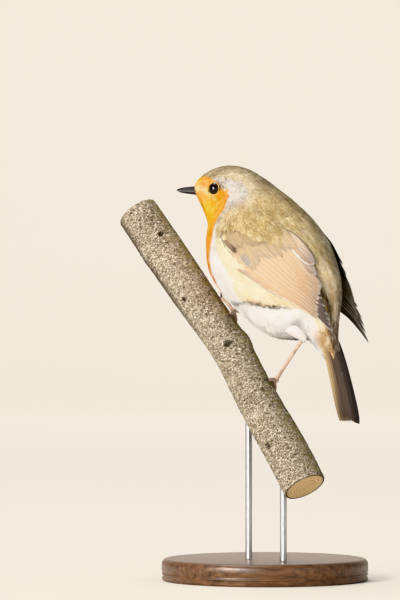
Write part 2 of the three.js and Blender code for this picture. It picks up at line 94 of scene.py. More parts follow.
def times(tree, first, second, plus=None):
    """Two values multiplied, with a third added where there is one."""
    if plus is None:
        return sums(tree, "MULTIPLY", first, second)
    return sums(tree, "MULTIPLY_ADD", first, second, plus)


def cloudy(tree, scale, detail=2.0, place=None, **more):
    """Soft noise through a piece, or at a place of its own."""
    if place is None:
        place = put(tree, "TexCoord").outputs["Object"]
    wires = {"Vector": place, "Scale": scale, "Detail": detail, **more}
    return put(tree, "TexNoise", wires).outputs[0]


def finish(name, **plain):
    """A material, its tree and its shader, with the shader's plain sockets set."""
    made = bpy.data.materials.new(name)
    made.use_nodes = True
    shader = made.node_tree.nodes["Principled BSDF"]
    for socket, value in plain.items():
        shader.inputs[socket.replace("_", " ")].default_value = value
    return made, made.node_tree, shader


def wire(tree, shader, **changing):
    """Wires the shader's sockets whose values change over the surface."""
    for socket, value in changing.items():
        tree.links.new(value, shader.inputs[socket.replace("_", " ")])


def relief(tree, shader, height, depth):
    """Fine relief from a height, depth in metres."""
    bump = put(tree, "Bump", {"Height": height, "Strength": 1.0, "Distance": depth})
    wire(tree, shader, Normal=bump.outputs[0])


def meshed(shape, name):
    """The mesh of a bmesh, which is freed."""
    made = bpy.data.meshes.new(name)
    shape.to_mesh(made)
    shape.free()
    return made


def placed(name, data):
    """A new object in the scene."""
    made = bpy.data.objects.new(name, data)
    bpy.context.scene.collection.objects.link(made)
    return made


def fixed(name, mesh, material, slot, *stands_for):
    """Puts a finished mesh on the model, for the nodes it stands for, which it hides; its slot is
    not used.
    """
    made = placed(name, mesh)
    mesh.materials.append(material)
    mesh.shade_smooth()
    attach(made, "root")
    if stands_for:
        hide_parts(*stands_for)


def in_grain(name, long_way, scale):
    """Shared: streaks that run one way through a solid, for turned wood and drawn steel."""
    group = bpy.data.node_groups.new(name, "ShaderNodeTree")
    group.interface.new_socket("Streak", in_out="OUTPUT", socket_type="NodeSocketFloat")
    place = put(group, "TexCoord").outputs["Object"]
    drawn = put(group, "Mapping", {"Vector": place, "Scale": long_way}).outputs[0]
    streak = cloudy(group, scale, 5.0, drawn, Roughness=0.6, Distortion=0.4)
    group.links.new(streak, group.nodes.new("NodeGroupOutput").inputs[0])
    return group


WOOD_GRAIN = in_grain("wood grain", (1.0, 9.0, 9.0), 60.0)
beech, tree, shader = finish("oiled beech", Coat_Weight=0.25, Coat_Roughness=0.25)
streak = put(tree, "Group", node_tree=WOOD_GRAIN).outputs[0]
pores = cloudy(tree, 900.0)
wood = graded(tree, streak, (0.3, tint(52, 34, 22)), (0.52, tint(88, 60, 39)),
              (0.72, tint(112, 80, 53)))
wood = mixed(tree, 0.6, wood, mask(tree, pores, 0.33, 0.45, 0.5), "MULTIPLY")
wire(tree, shader, Base_Color=wood, Roughness=times(tree, streak, 0.2, 0.32))
relief(tree, shader, pores, 0.0001)

BASE_RADIUS, BASE_HEIGHT, EDGE_ROUND = 47.0, 10.0, 2.5
BEAD, BEAD_FOOT, BEAD_STEP = 0.7, 2.4, 0.35  # its depth, its lowest point, a quarter of its height
base = bmesh.new()
profile = [(0, 0), (BASE_RADIUS - 1, 0), (BASE_RADIUS, 1)]
profile += [(BASE_RADIUS - BEAD * abs(math.cos(math.pi * k / 4)) ** 3, BEAD_FOOT + BEAD_STEP * k)
            for k in range(5)]
profile += [(BASE_RADIUS, 4.4), (BASE_RADIUS, BASE_HEIGHT - EDGE_ROUND)]
profile += [(BASE_RADIUS - EDGE_ROUND + EDGE_ROUND * math.cos(k * math.pi / 10),
             BASE_HEIGHT - EDGE_ROUND + EDGE_ROUND * math.sin(k * math.pi / 10))
            for k in range(1, 6)]
profile += [(0, BASE_HEIGHT)]
rim = [base.verts.new((r * MM, 0, z * MM)) for r, z in profile]
edges = [base.edges.new(pair) for pair in zip(rim, rim[1:])]
bmesh.ops.spin(base, geom=rim + edges, axis=(0, 0, 1), cent=(0, 0, 0), dvec=(0, 0, 0),
               angle=2 * math.pi, steps=128, use_merge=True, use_duplicate=False)
bmesh.ops.remove_doubles(base, verts=base.verts, dist=1e-6)
bmesh.ops.recalc_face_normals(base, faces=base.faces)
fixed("turned_base", meshed(base, "stand_base"), beech, "stand_wood", "stand_base")

# ---------------------------------------------------------------- the rods
# Two thin rods of drawn stainless steel stand in the base and end under the branch, with their
# drawing marks along them. They are round bar, so the solids' own shapes stay.
STEEL_GRAIN = in_grain("drawn grain", (9.0, 9.0, 0.4), 700.0)
steel, tree, shader = finish("drawn steel", Metallic=1.0)
mark = put(tree, "Group", node_tree=STEEL_GRAIN).outputs[0]
bright = graded(tree, mark, (0.3, tint(150, 151, 153)), (0.7, tint(196, 197, 198)))
wire(tree, shader, Base_Color=bright, Roughness=times(tree, mark, 0.25, 0.2))
relief(tree, shader, mark, 0.00003)
for name in ("stand_rod_low", "stand_rod_high"):
    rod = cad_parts[name]
    rod.data.materials.clear()
    rod.data.materials.append(steel)

# ---------------------------------------------------------------- the branch
# A cut length of a live branch: grey-tan bark with a dense dark fleck, faint rings, a few bud
# knots, and a pale cut face with its year rings at each end.
PERCH_LINE = [(-58.6, 40.9, 168.0), (-46.4, 32.3, 150.0), (-30.9, 17.8, 127.3),
              (-15.2, 3.2, 104.5), (-3.4, -11.4, 81.8), (9.5, -25.9, 59.1), (17.3, -34.6, 44.0)]
PERCH_RADIUS = 9.4
# swellings of the wood, and bud knots and old scars in the bark: share of the branch's length,
# degrees round it, and height or radius
KNOTS = [(0.52, 10, 1.1), (0.14, 140, 1.3), (0.78, -70, 1.2)]
BUDS = [(0.53, 90, 2.0), (0.335, 118, 1.1), (0.12, 70, 1.5), (0.705, 60, 1.0), (0.86, 128, 1.3),
        (0.45, 250, 1.4), (0.22, 300, 1.2), (0.62, 200, 1.1)]


def flowing(points, place, even=False):
    """A smooth line through points, read at places counted in points; even steps if asked."""
    p = np.asarray(points, float)
    ends = np.vstack([2 * p[0] - p[1], p, 2 * p[-1] - p[-2]])
    gaps = np.ones(len(ends) - 1)
    if not even:
        gaps = np.maximum(np.linalg.norm(np.diff(ends, axis=0), axis=1) ** 0.5, 1e-4)
    before, here, there, after = ends[:-3], ends[1:-2], ends[2:-1], ends[3:]
    a, b, c = gaps[:-2, None], gaps[1:-1, None], gaps[2:, None]
    leave = ((here - before) / a - (there - before) / (a + b) + (there - here) / b) * b
    reach = ((there - here) / b - (after - here) / (b + c) + (after - there) / c) * b
    place = np.asarray(place, float)
    i = np.clip(np.floor(place).astype(int), 0, len(p) - 2)
    w = (place - i)[:, None]
    at, to, go, come = p[i], p[i + 1], leave[i], reach[i]
    return at + go * w + (3 * (to - at) - 2 * go - come) * w**2 + (2 * (at - to) + go + come) * w**3


def unit(way):
    """The same way, one long."""
    return way / np.linalg.norm(way, axis=-1, keepdims=True)


def paced(points, share):
    """The same line by its true length, and the way it runs."""
    fine = np.linspace(0, len(points) - 1, 400)
    line = flowing(points, fine)
    run = np.concatenate([[0], np.cumsum(np.linalg.norm(np.diff(line, axis=0), axis=1))])
    run /= run[-1]
    step = 1e-3
    share = np.clip(share, 0, 1)
    here = flowing(points, np.interp(share, run, fine))
    ahead = flowing(points, np.interp(np.minimum(share + step, 1), run, fine))
    behind = flowing(points, np.interp(np.maximum(share - step, 0), run, fine))
    return here, unit(ahead - behind)


def round_from(angle, degrees):
    """The shorter way round to an angle from a turn in degrees, in radians."""
    return (angle - math.radians(degrees) + np.pi) % (2 * np.pi) - np.pi


def bark_girth(share, angle):
    """The branch's radius without its fine bark: a slow swell, a slight oval, and the knots."""
    radius = PERCH_RADIUS + 0.25 * np.sin(7 * share + 1) + 0.2 * np.sin(2 * angle + 9 * share)
    for along, turn, size in KNOTS:
        off = round_from(angle, turn)
        radius += size * np.exp(-(off / 0.5) ** 2 - ((share - along) / 0.03) ** 2)
    return radius


def on_branch(share, angle, radius):
    """A point round the branch, in millimetres. Angle 0 is its right side, 90 its near side."""
    centre, along = paced(PERCH_LINE, share)
    near = unit(np.array([0, -1.0, 0]) + along * along[:, 1:2])
    right = np.cross(near, along)
    turn = np.stack([np.cos(angle), np.sin(angle)])[:, :, None]
    return centre + radius[:, None] * (right * turn[0] + near * turn[1])


def faced_out(mesh, weld):
    """Turns a mesh's faces outward, with its seams and poles closed first where it has them."""
    shape = bmesh.new()
    shape.from_mesh(mesh)
    if weld:
        bmesh.ops.remove_doubles(shape, verts=shape.verts, dist=2e-6)
    bmesh.ops.recalc_face_normals(shape, faces=shape.faces)
    shape.to_mesh(mesh)
    shape.free()


def wrapped(name, around, along, place):
    """A bmesh grid laid over a form: place(u, v) takes each corner's share round and along."""
    shape = bmesh.new()
    bmesh.ops.create_grid(shape, x_segments=around, y_segments=along, size=0.5)
    mesh = meshed(shape, name)
    flat = np.empty(len(mesh.vertices) * 3, np.float32)
    mesh.vertices.foreach_get("co", flat)
    u, v = flat.reshape(-1, 3)[:, 0] + 0.5, flat.reshape(-1, 3)[:, 1] + 0.5
    corner = np.empty(len(mesh.loops), np.int32)
    mesh.loops.foreach_get("vertex_index", corner)
    shares = np.stack([u[corner], v[corner]], 1).astype(np.float32)
    mesh.uv_layers.new(name="lay").data.foreach_set("uv", shares.ravel())
    points = place(u.astype(float), v.astype(float)) * MM
    mesh.vertices.foreach_set("co", points.astype(np.float32).ravel())
    mesh.update()
    faced_out(mesh, weld=True)
    return mesh


def lay_of(tree):
    """The share round a wrapped form and the share along it."""
    parts = put(tree, "SeparateXYZ", {0: put(tree, "UVMap", uv_map="lay").outputs[0]})
    return parts.outputs[0], parts.outputs[1]


def threads(tree, often, detail):
    """Noise drawn out over a wrapped form, by how often it changes round it and along it."""
    flat = put(tree, "UVMap", uv_map="lay").outputs[0]
    drawn = put(tree, "Mapping", {"Vector": flat, "Scale": (*often, 1.0)}).outputs[0]
    return cloudy(tree, 1.0, detail, drawn)


def ruffled(points, scale, seed):
    """Smooth noise at points in millimetres, between about -1 and 1."""
    return np.array([noise.noise(Vector(p) * scale + Vector((seed, 0, 0))) for p in points])


ROUND_BRANCH, ALONG_BRANCH = 230, 380  # columns and rows of the sheet wrapped round the branch
CUT_ROWS = 8  # of them make each cut face
CRUST_RADIUS, CRUST_LENGTH = 9.0, 150.0  # the plain round on which the bark's crust is worked out


def bark(u, v):
    cap = CUT_ROWS / ALONG_BRANCH
    share = np.clip((v - cap) / (1 - 2 * cap), 0, 1)
    angle = 2 * np.pi * u
    out = np.clip(np.minimum(v, 1 - v) / cap, 0, 1)  # 0 at the middle of a cut face
    at = np.stack([np.cos(angle) * CRUST_RADIUS, np.sin(angle) * CRUST_RADIUS,
                   share * CRUST_LENGTH], 1)
    crust = 0.16 * ruffled(at, 0.55, 3) + 0.13 * ruffled(at, 1.3, 9)
    crust += 0.1 * ruffled(at * [1, 1, 2.2], 0.8, 21)
    crust -= 0.22 * np.clip(ruffled(at, 2.1, 40) - 0.25, 0, 1)
    for along, turn, size in BUDS:
        off = round_from(angle, turn)
        away = np.hypot(off * PERCH_RADIUS, (share - along) * CRUST_LENGTH) / size
        crust += 0.5 * np.exp(-((away - 1.1) / 0.5) ** 2) - 1.0 * np.exp(-(away / 0.6) ** 2)
    radius = (bark_girth(share, angle) + crust * (out >= 1)) * out
    saw_edge = np.where((out < 1) & (out > 0.8), -0.25, 0)
    return on_branch(share, angle, radius + saw_edge)


branch = wrapped("branch", ROUND_BRANCH, ALONG_BRANCH, bark)
bark_finish, tree, shader = finish("grey bark", Specular_IOR_Level=0.25)
run = Vector(PERCH_LINE[-1]) - Vector(PERCH_LINE[0])
place = put(tree, "Mapping", {"Vector": put(tree, "TexCoord").outputs["Object"],
                              "Rotation": run.to_track_quat("Z", "Y").to_euler(),
                              "Scale": (1.0, 1.0, 0.62)}, vector_type="TEXTURE").outputs[0]
round_it, along_it = lay_of(tree)
patch = cloudy(tree, 75.0, 2.0, place)
fleck = cloudy(tree, 900.0, 3.0, place, Roughness=0.75, Distortion=1.6)
pits = put(tree, "TexVoronoi", {"Vector": place, "Scale": 620.0}, feature="F1").outputs[0]
ground = graded(tree, patch, (0.32, tint(108, 94, 74)), (0.5, tint(140, 126, 104)),
                (0.66, tint(172, 160, 142)))
specks = graded(tree, fleck, (0.36, tint(22, 18, 13)), (0.46, tint(88, 76, 59)),
                (0.54, tint(157, 145, 124)), (0.66, tint(240, 234, 222)))
barked = mixed(tree, 0.85, ground, specks)
rings = mask(tree, threads(tree, (5.0, 90.0), 3.0), 0.58, 0.72, 0.0, 0.55)
barked = mixed(tree, rings, barked, tint(70, 56, 40))
barked = mixed(tree, mask(tree, pits, 0.1, 0.34, 0.85, 0.0), barked, tint(44, 34, 24))
# the bud knots and old scars are dark, with a ragged edge
SHEET_ROUND, SHEET_LONG = 59.0, 164.0  # about the wrapped sheet's size, with its cut faces
SHEET_CAP, SHEET_BARK = 0.02, 0.96  # about a cut face's share of its length, and the bark's
for along, turn, size in BUDS:
    across = times(tree, round_it, SHEET_ROUND, -SHEET_ROUND * turn / 360)
    down = times(tree, along_it, SHEET_LONG, -SHEET_LONG * (SHEET_CAP + SHEET_BARK * along))
    away = sums(tree, "SQRT", sums(tree, "ADD", times(tree, across, across),
                                   times(tree, down, down)))
    away = times(tree, times(tree, fleck, 3.0, away), 0.2)
    scar = mask(tree, away, 0.2 * (size + 1.2), 0.2 * (size + 2.0), 0.85, 0.0)
    barked = mixed(tree, scar, barked, tint(36, 27, 18))
# a dark seam of painted shade under the upper half, and moss-green dust on the shaded right side
side = sums(tree, "COSINE", times(tree, round_it, 2 * math.pi))
underside_shade = times(tree, mask(tree, times(tree, side, -1.0), 0.72, 0.95, 0.0, 0.8),
             mask(tree, along_it, 0.3, 0.5, 1.0, 0.0))
barked = mixed(tree, underside_shade, barked, tint(56, 44, 32))
rightward = put(tree, "MapRange", {0: side, 1: 0.35, 2: 1.0, 3: 0.0, 4: 1.0}).outputs[0]
mossy = times(tree, rightward, mask(tree, cloudy(tree, 240.0, 3.0, place), 0.42, 0.6, 0.0, 0.75))
barked = mixed(tree, mossy, barked, tint(128, 116, 62))
wire(tree, shader, Base_Color=barked, Roughness=times(tree, fleck, 0.3, 0.62))
relief(tree, shader, times(tree, fleck, 1.0, times(tree, pits, 0.6)), 0.0005)

cut_finish, tree, shader = finish("cut wood", Roughness=0.7)
along_it = lay_of(tree)[1]
edge = times(tree, sums(tree, "MINIMUM", along_it, sums(tree, "SUBTRACT", 1.0, along_it)),
             ALONG_BRANCH / CUT_ROWS)
ring = sums(tree, "SINE", times(tree, edge, 46.0, times(tree, cloudy(tree, 260.0), 9.0)))
sawn = graded(tree, times(tree, ring, 0.25, 0.5), (0.2, tint(176, 140, 92)),
              (0.7, tint(220, 194, 148)))
sawn = mixed(tree, mask(tree, edge, 0.88, 0.95), sawn, tint(70, 52, 34))
wire(tree, shader, Base_Color=sawn)
relief(tree, shader, ring, 0.0001)
fixed("branch", branch, bark_finish, "branch_bark", "perch")
branch.materials.append(cut_finish)
middle = np.empty(len(branch.polygons) * 3, np.float32)
branch.polygons.foreach_get("center", middle)
sawn_off = np.zeros(len(branch.polygons), np.int32)
for share in (0.0, 1.0):
    where, way = paced(PERCH_LINE, np.array([share]))
    away = (middle.reshape(-1, 3) / MM - where[0]) @ way[0]
    sawn_off |= (np.abs(away) < 0.04).astype(np.int32)
branch.polygons.foreach_set("material_index", sawn_off)

# ---------------------------------------------------------------- the skin
# One skin runs from the bill's root to the tail's root and over both thighs, and carries the
# same markings as the plumage. It lies under the plumage by the coat's depth.
TRUNK_CENTRE, HEADING = np.array([4.3, 0, 147.7]), math.radians(142)
HEAD_TURN, NECK_PIVOT = math.radians(18), 12.0
# each rib: back forward and up, belly forward and up, half width, share of the head's turn
RIBS = np.array([
    (40.5, 30.6, 40.4, 30.0, 0.4, 1), (39.9, 33.0, 39.0, 27.6, 3.4, 1),
    (37.8, 35.7, 37.3, 24.5, 6.2, 1), (34.2, 38.3, 35.6, 21.3, 8.6, 1),
    (28.8, 40.5, 34.1, 17.8, 10.1, 1), (22.0, 41.2, 33.0, 14.2, 11.4, 0.92),
    (14.6, 39.4, 32.5, 10.2, 13.4, 0.7), (7.4, 35.4, 32.9, 6.2, 16.4, 0.4),
    (0.2, 30.6, 32.4, 1.0, 19.8, 0.15), (-9.6, 24.0, 29.4, -10.6, 23.4, 0),
    (-18.6, 16.6, 21.0, -21.0, 24.4, 0), (-26.0, 8.0, 11.0, -29.4, 23.8, 0),
    (-31.0, -2.4, 0.5, -36.0, 21.6, 0), (-33.8, -11.4, -10.4, -37.8, 17.2, 0),
    (-34.4, -19.4, -19.4, -33.6, 11.6, 0), (-34.2, -27.2, -25.4, -39.8, 7.6, 0),
    (-33.9, -34.8, -30.2, -46.2, 5.2, 0), (-34.8, -42.4, -34.8, -49.6, 3.4, 0)])
TAIL_END = len(RIBS) - 1.0


def in_room(points):
    """From the bird's own frame, forward, left and up, to the room's."""
    x, y = points[..., 0], points[..., 1]
    c, s = math.cos(HEADING), math.sin(HEADING)
    return np.stack([x * c - y * s, x * s + y * c, points[..., 2]], -1) + TRUNK_CENTRE


def head_turned(points, share=1.0):
    """Looks over the left shoulder, about an upright line in the neck."""
    c, s = np.cos(HEAD_TURN * share), np.sin(HEAD_TURN * share)
    x, y = points[..., 0] - NECK_PIVOT, points[..., 1]
    return np.stack([x * c - y * s + NECK_PIVOT, x * s + y * c, points[..., 2]], -1)


def on_ribs(ribs, rib, angle, grow):
    """A point over ribs at a rib number, an angle from the back's midline and a height."""
    back, belly = flowing(ribs[:, 0:2], rib), flowing(ribs[:, 2:4], rib)
    half, turn = flowing(ribs[:, 4:6], rib, even=True).T
    up = back - belly
    tall = np.linalg.norm(up, axis=1)
    line = (back + belly) / 2 + up * ((0.5 + grow / tall) * np.cos(angle))[:, None]
    y = (half * (1 - 0.14 * np.cos(angle)) + grow) * np.sin(angle)
    return head_turned(np.stack([line[:, 0], y, line[:, 1]], 1), turn)


def wing_bulge(rib, angle):
    """How far the covered arm of the wing stands over the body."""
    s = np.clip((rib - 7.4) / 3.6, 0, 1)
    half = 36 * np.sin(np.pi * (0.06 + 0.84 * s)) ** 0.7
    off = (np.degrees(np.abs(angle)) - (84 - 20 * s)) / half
    lens = 1.7 * np.clip(1 - off * off, 0, 1) ** 0.6
    return lens * np.clip((rib - 7.4) / 1.2, 0, 1) * np.clip((11.2 - rib) / 0.5, 0, 1)


def on_body(rib, angle, grow):
    """A point over the body with its wings' bulge."""
    return on_ribs(RIBS, rib, angle, grow + wing_bulge(rib, angle))


def coat_depth(rib):
    """How far the skin lies under the tips of the plumage."""
    return np.interp(rib, [0, 1, 3, 6, 8, 11, 14, 17], [0.3, 0.4, 0.7, 1.1, 1.5, 1.9, 1.6, 1.0])


def eased(value, low, high):
    """0 below low, 1 above high, and a soft step between."""
    w = np.clip((value - low) / (high - low), 0, 1)
    return w * w * (3 - 2 * w)


# the plumage's colours, with a grey and a brown painted as shade and a dark brown that is partly
# painted shadow, and the pink of the bare skin that the parting shows
ORANGE, GLOWING = tint(238, 150, 0), tint(252, 210, 34)
LORES, BLUE_GREY, OLIVE = tint(255, 242, 168), tint(188, 183, 180), tint(196, 178, 136)
CROWN, MANTLE, SNOW = tint(166, 149, 116), tint(180, 159, 114), tint(254, 253, 253)
CREAM, RUMP, PARTING = tint(252, 243, 212), tint(248, 226, 184), tint(52, 34, 22)
NAPE, BACK_SHADE, SHADED = tint(214, 201, 173), tint(160, 150, 130), tint(62, 42, 26)
BUFF, TAIL_DARK = tint(200, 168, 124), tint(78, 62, 50)
FLESH = tint(196, 132, 98)


def markings(rib, angle):
    """The plumage's colour and painted shade at a rib number and an angle: the same for skin and
    coat.
    """
    turn = np.degrees(np.abs(angle))
    paint = np.zeros((len(rib), 3))

    def lay(colour, share):
        paint[:] = paint + (np.array(colour[:3]) - paint) * np.clip(share, 0, 1)[:, None]

    lay(CROWN, np.ones(len(rib)))
    lay(NAPE, 0.7 * eased(rib, 4.5, 6.0) * eased(turn, 12, 40))
    lay(MANTLE, eased(rib, 7.4, 8.8))
    lay(OLIVE, eased(rib, 9.4, 11))
    lay(RUMP, eased(rib, 11.3, 12.8))
    # the right side of the back greyed, as painted shade
    lay(BACK_SHADE, 0.85 * eased(-np.degrees(angle), -8, 32) * eased(rib, 7, 10))
    # how far back the red reaches at each turn, then the pale grey collar's back and top edge
    red_edge = np.interp(turn, [0, 20, 40, 48, 56, 62, 66, 69.5, 75.5, 83, 90.5, 101, 104.5,
                                110.5, 123, 140, 158, 180],
                         [1.3, 2.0, 2.8, 3.2, 3.9, 4.2, 4.5, 6.5, 6.9, 7.28, 7.42, 7.66, 8.0,
                          8.35, 8.7, 9.5, 10.1, 10.3])
    collar = np.interp(turn, [53, 64, 74, 83.5, 89.5, 94.5, 97.5, 104, 107, 112, 131, 180],
                       [8.05, 8.0, 7.8, 7.62, 7.68, 7.95, 8.27, 8.9, 9.4, 10.2, 10.6, 10.9])
    collar_top = np.interp(rib, [3.8, 4.8, 5.9, 6.7, 8.0], [62, 56, 50, 42, 46])
    lay(CREAM, eased(turn, 88, 94) * eased(rib, 8.3, 8.9))
    lay(SNOW, eased(turn, 118, 126) * eased(rib, 8.8, 9.4))
    lay(CREAM, 0.9 * eased(turn, 52, 70) * eased(rib, 13.2, 14.2))
    line = np.interp(rib, [10.3, 10.8, 11.2, 11.9, 12.55, 13.1], [146, 136, 117, 104.5, 94, 85])
    lay(SNOW, eased(turn - line, 0, 3) * eased(rib, 10, 10.6))
    lay(BUFF, 0.9 * eased(rib, 14.5, 15.5) * eased(turn, 20, 45) * (1 - eased(turn, 96, 132)))
    lay(BLUE_GREY, 0.85 * (1 - eased(rib, collar - 0.5, collar + 0.25)) * eased(rib, 3.6, 4.6)
        * eased(turn, collar_top - 4, collar_top + 4))
    lay(SNOW, (1 - eased(rib, collar - 0.1, collar + 0.15)) * eased(turn, 96, 106))
    red = 1 - eased(rib, red_edge - 0.14, red_edge + 0.14)
    red = red * (1 - 0.9 * np.exp(-((rib - 5.5) / 0.6) ** 4 - ((turn - 69) / 5) ** 4))
    lay(ORANGE, red)
    lay(GLOWING, red * 0.9 * np.exp(-((rib - 5.2) / 2.0) ** 2 - ((turn - 118) / 36) ** 2))
    lay(GLOWING, red * 0.9 * np.exp(-((rib - 1.8) / 1.4) ** 2 - ((turn - 40) / 34) ** 2))
    lay(LORES, red * 0.98 * np.exp(-((rib - 2.1) / 1.1) ** 2 - ((turn - 86) / 20) ** 2))
    lay(LORES, red * 0.85 * np.exp(-((rib - 4.4) / 0.9) ** 2 - ((turn - 92) / 7) ** 2))
    # the shade between the left wing's tip and the rump
    middle = np.interp(rib, [12.6, 13.4, 14.2, 15.4], [40, 36, 27, 22])
    reach = np.interp(rib, [12.6, 13.4, 14.2, 15.4], [4, 9, 12, 14])
    lay(SHADED, 0.92 * (angle > 0) * np.exp(-((turn - middle) / reach) ** 2)
        * eased(rib, 12.3, 12.9) * (1 - eased(rib, 15.1, 16.0)))
    lay(TAIL_DARK, 0.85 * eased(rib, 14.9, 15.6) * (1 - eased(turn, 30, 60)))
    # the dark parting where the flank's long feathers end over the white belly: painted shadow
    # under their edge, over the feathers' own dark bases
    under = np.exp(-((turn - line) / 3.4) ** 4) * eased(rib, 10.3, 10.6)
    lay(FLESH, 0.7 * np.exp(-((turn - line + 3.5) / 1.8) ** 2) * eased(rib, 10.9, 11.2)
        * (1 - eased(rib, 12.0, 12.5)))
    lay(PARTING, 0.95 * under * (1 - eased(rib, 12.7, 13.1)))
    lay(PARTING, 0.8 * np.exp(-((turn - 104) / 6) ** 2) * (1 - eased(rib, 1.3, 2.2)))  # gape
    lay(PARTING, 0.6 * np.exp(-((turn - 68.3) / 1.0) ** 2) * eased(rib, 4.8, 5.1)
        * (1 - eased(rib, 5.5, 5.75)))  # behind the eye
    return paint


# each leg in the bird's frame: its ankle and knee, the thigh's radius at the knee, the foot's share
# of the branch's length, and how far its inner and hind toes turn round the branch and climb it
LEGS = {
    "left": dict(ankle=np.array([-22.2, 7.6, -37.4]), knee=np.array([-8, 12.5, -25]), thigh=7.4,
                 foot=0.668, inner=(-66, 7.5), hind=(50, -2.5)),
    "right": dict(ankle=np.array([2.5, -13.0, -32.5]), knee=np.array([-3, -12.5, -22]), thigh=7.0,
                  foot=0.425, inner=(24, 9), hind=(46, -4.5)),
}


def along_limb(points, share, angle, radius):
    """A point round a line in the bird's frame, and the ways outward and along there."""
    centre, way = paced(points, share)
    side = unit(np.cross([0, 0, 1.0], way))
    other = np.cross(way, side)
    out = side * np.cos(angle)[:, None] + other * np.sin(angle)[:, None]
    return centre + out * radius[:, None], out, way


ANKLE_RADIUS = 1.5  # of the feathered thigh where the bare leg comes out


def thigh_girth(leg, share):
    return leg["thigh"] + (ANKLE_RADIUS - leg["thigh"]) * share**0.9


def on_thigh(leg, share, angle, grow):
    """A point round a thigh, at a height over its feathers' outline."""
    knee, ankle = leg["knee"], leg["ankle"]
    radius = np.maximum(thigh_girth(leg, share) + grow, 0.02)
    return along_limb([knee, (knee + ankle) / 2, ankle], share, angle, radius)[0]


def body_skin(u, v):
    rib, angle = TAIL_END * v, 2 * np.pi * u - np.pi
    shut = (v < 1e-6) | (v > 1 - 1e-6)
    ends = on_ribs(RIBS, rib, angle * 0, rib * 0) + on_ribs(RIBS, rib, angle * 0 + np.pi, rib * 0)
    return in_room(np.where(shut[:, None], ends / 2, on_body(rib, angle, -coat_depth(rib))))


def thigh_skin(leg):
    def lay(u, v):
        share = np.clip((v - 0.04) / 0.92, 0, 1)
        open_here = (v > 1e-6) & (v < 1 - 1e-6)
        return in_room(on_thigh(leg, share, 2 * np.pi * u, np.where(open_here, -0.7, -99)))
    return lay


# body and thighs are melted into one skin
forms = [wrapped("form", 110, 200, body_skin)]
forms += [wrapped("form", 40, 30, thigh_skin(leg)) for leg in LEGS.values()]
shell = bmesh.new()
for form in forms:
    shell.from_mesh(form)
    bpy.data.meshes.remove(form)
whole = placed("whole form", meshed(shell, "rough form"))
melt = whole.modifiers.new("one skin", "REMESH")
melt.mode, melt.voxel_size = "VOXEL", 0.65 * MM
soften = whole.modifiers.new("soften", "SMOOTH")
soften.factor, soften.iterations = 0.5, 4
bpy.context.view_layer.update()
skin = bpy.data.meshes.new_from_object(whole.evaluated_get(bpy.context.evaluated_depsgraph_get()))
skin.name = "skin"
bpy.data.objects.remove(whole)


def points_of(mesh):
    flat = np.empty(len(mesh.vertices) * 3, np.float32)
    mesh.vertices.foreach_get("co", flat)
    return flat.reshape(-1, 3).astype(float)


def finder(points):
    """Finds the nearest of many points."""
    made = KDTree(len(points))
    for i, point in enumerate(points):
        made.insert(point, i)
    made.balance()
    return made


skin_points = points_of(skin) / MM
rows, turns = np.meshgrid(np.linspace(0, TAIL_END, 240), np.linspace(-np.pi, np.pi, 121))
rows, turns = rows.ravel(), turns.ravel()
body_form = finder(in_room(on_body(rows, turns, -coat_depth(rows))))
nearest = np.array([body_form.find(p)[1:] for p in skin_points])
which = nearest[:, 0].astype(int)
skin_paint = markings(rows[which], turns[which])
skin_paint[nearest[:, 1] > 1.6] = SNOW[:3]  # the thighs stand off the body's form, and are white

EYE_PLACE, EYE_RADIUS = (27.4, 7.7, 30.2), 3.4


def by_eye(side, out=EYE_PLACE[1], ahead=0.0, up=0.0):
    """A place by an eye in the bird's frame: side is 1 for the left eye, -1 for the right."""
    return head_turned(np.array([EYE_PLACE[0] + ahead, out * side, EYE_PLACE[2] + up]))


# the sockets: the skin sinks round each eye, under its lids
for side in (1, -1):
    eye = in_room(by_eye(side))
    look = unit(in_room(by_eye(side, 20.0)) - eye)
    from_eye = skin_points - eye
    off = np.linalg.norm(from_eye - np.outer(from_eye @ look, look), axis=1)
    outer = (from_eye @ look) > 0
    skin_points -= look * (1.6 * (1 - eased(off, 1.9, 3.0)) * outer)[:, None]
skin.vertices.foreach_set("co", (skin_points * MM).astype(np.float32).ravel())


def coloured(mesh, name, paint):
    """A colour for each point of a mesh."""
    layer = mesh.color_attributes.new(name, "FLOAT_COLOR", "POINT")
    whole_paint = np.ones((len(paint), 4), np.float32)
    whole_paint[:, :3] = paint
    layer.data.foreach_set("color", whole_paint.ravel())


coloured(skin, "plumage", skin_paint * 0.8)


def soft_mottle():
    """Shared by skin and coat: a soft uneven shade over a plumage colour."""
    group = bpy.data.node_groups.new("soft mottle", "ShaderNodeTree")
    group.interface.new_socket("Plumage", in_out="INPUT", socket_type="NodeSocketColor")
    group.interface.new_socket("Color", in_out="OUTPUT", socket_type="NodeSocketColor")
    start, end = group.nodes.new("NodeGroupInput"), group.nodes.new("NodeGroupOutput")
    shade = graded(group, cloudy(group, 160.0, 3.0), (0.3, tint(222, 218, 212)),
                   (0.7, tint(255, 255, 255)))
    group.links.new(mixed(group, 1.0, start.outputs[0], shade, "MULTIPLY"), end.inputs[0])
    return group


MOTTLE = soft_mottle()


def plumage_finish(name):
    made, tree, shader = finish(name, Roughness=0.85, Specular_IOR_Level=0.06, Sheen_Weight=0.06,
                                Sheen_Roughness=0.6)
    painted = put(tree, "Attribute", attribute_name="plumage").outputs["Color"]
    wire(tree, shader, Base_Color=put(tree, "Group", {0: painted}, node_tree=MOTTLE).outputs[0])
    relief(tree, shader, cloudy(tree, 2500.0), 0.0001)
    return made


fixed("skin", skin, plumage_finish("skin under plumage"), "plumage_white", "head", "neck",
      "trunk_front", "trunk_rear", "rump", "thigh_left", "thigh_right", "wing_coverts_left",
      "wing_coverts_right")

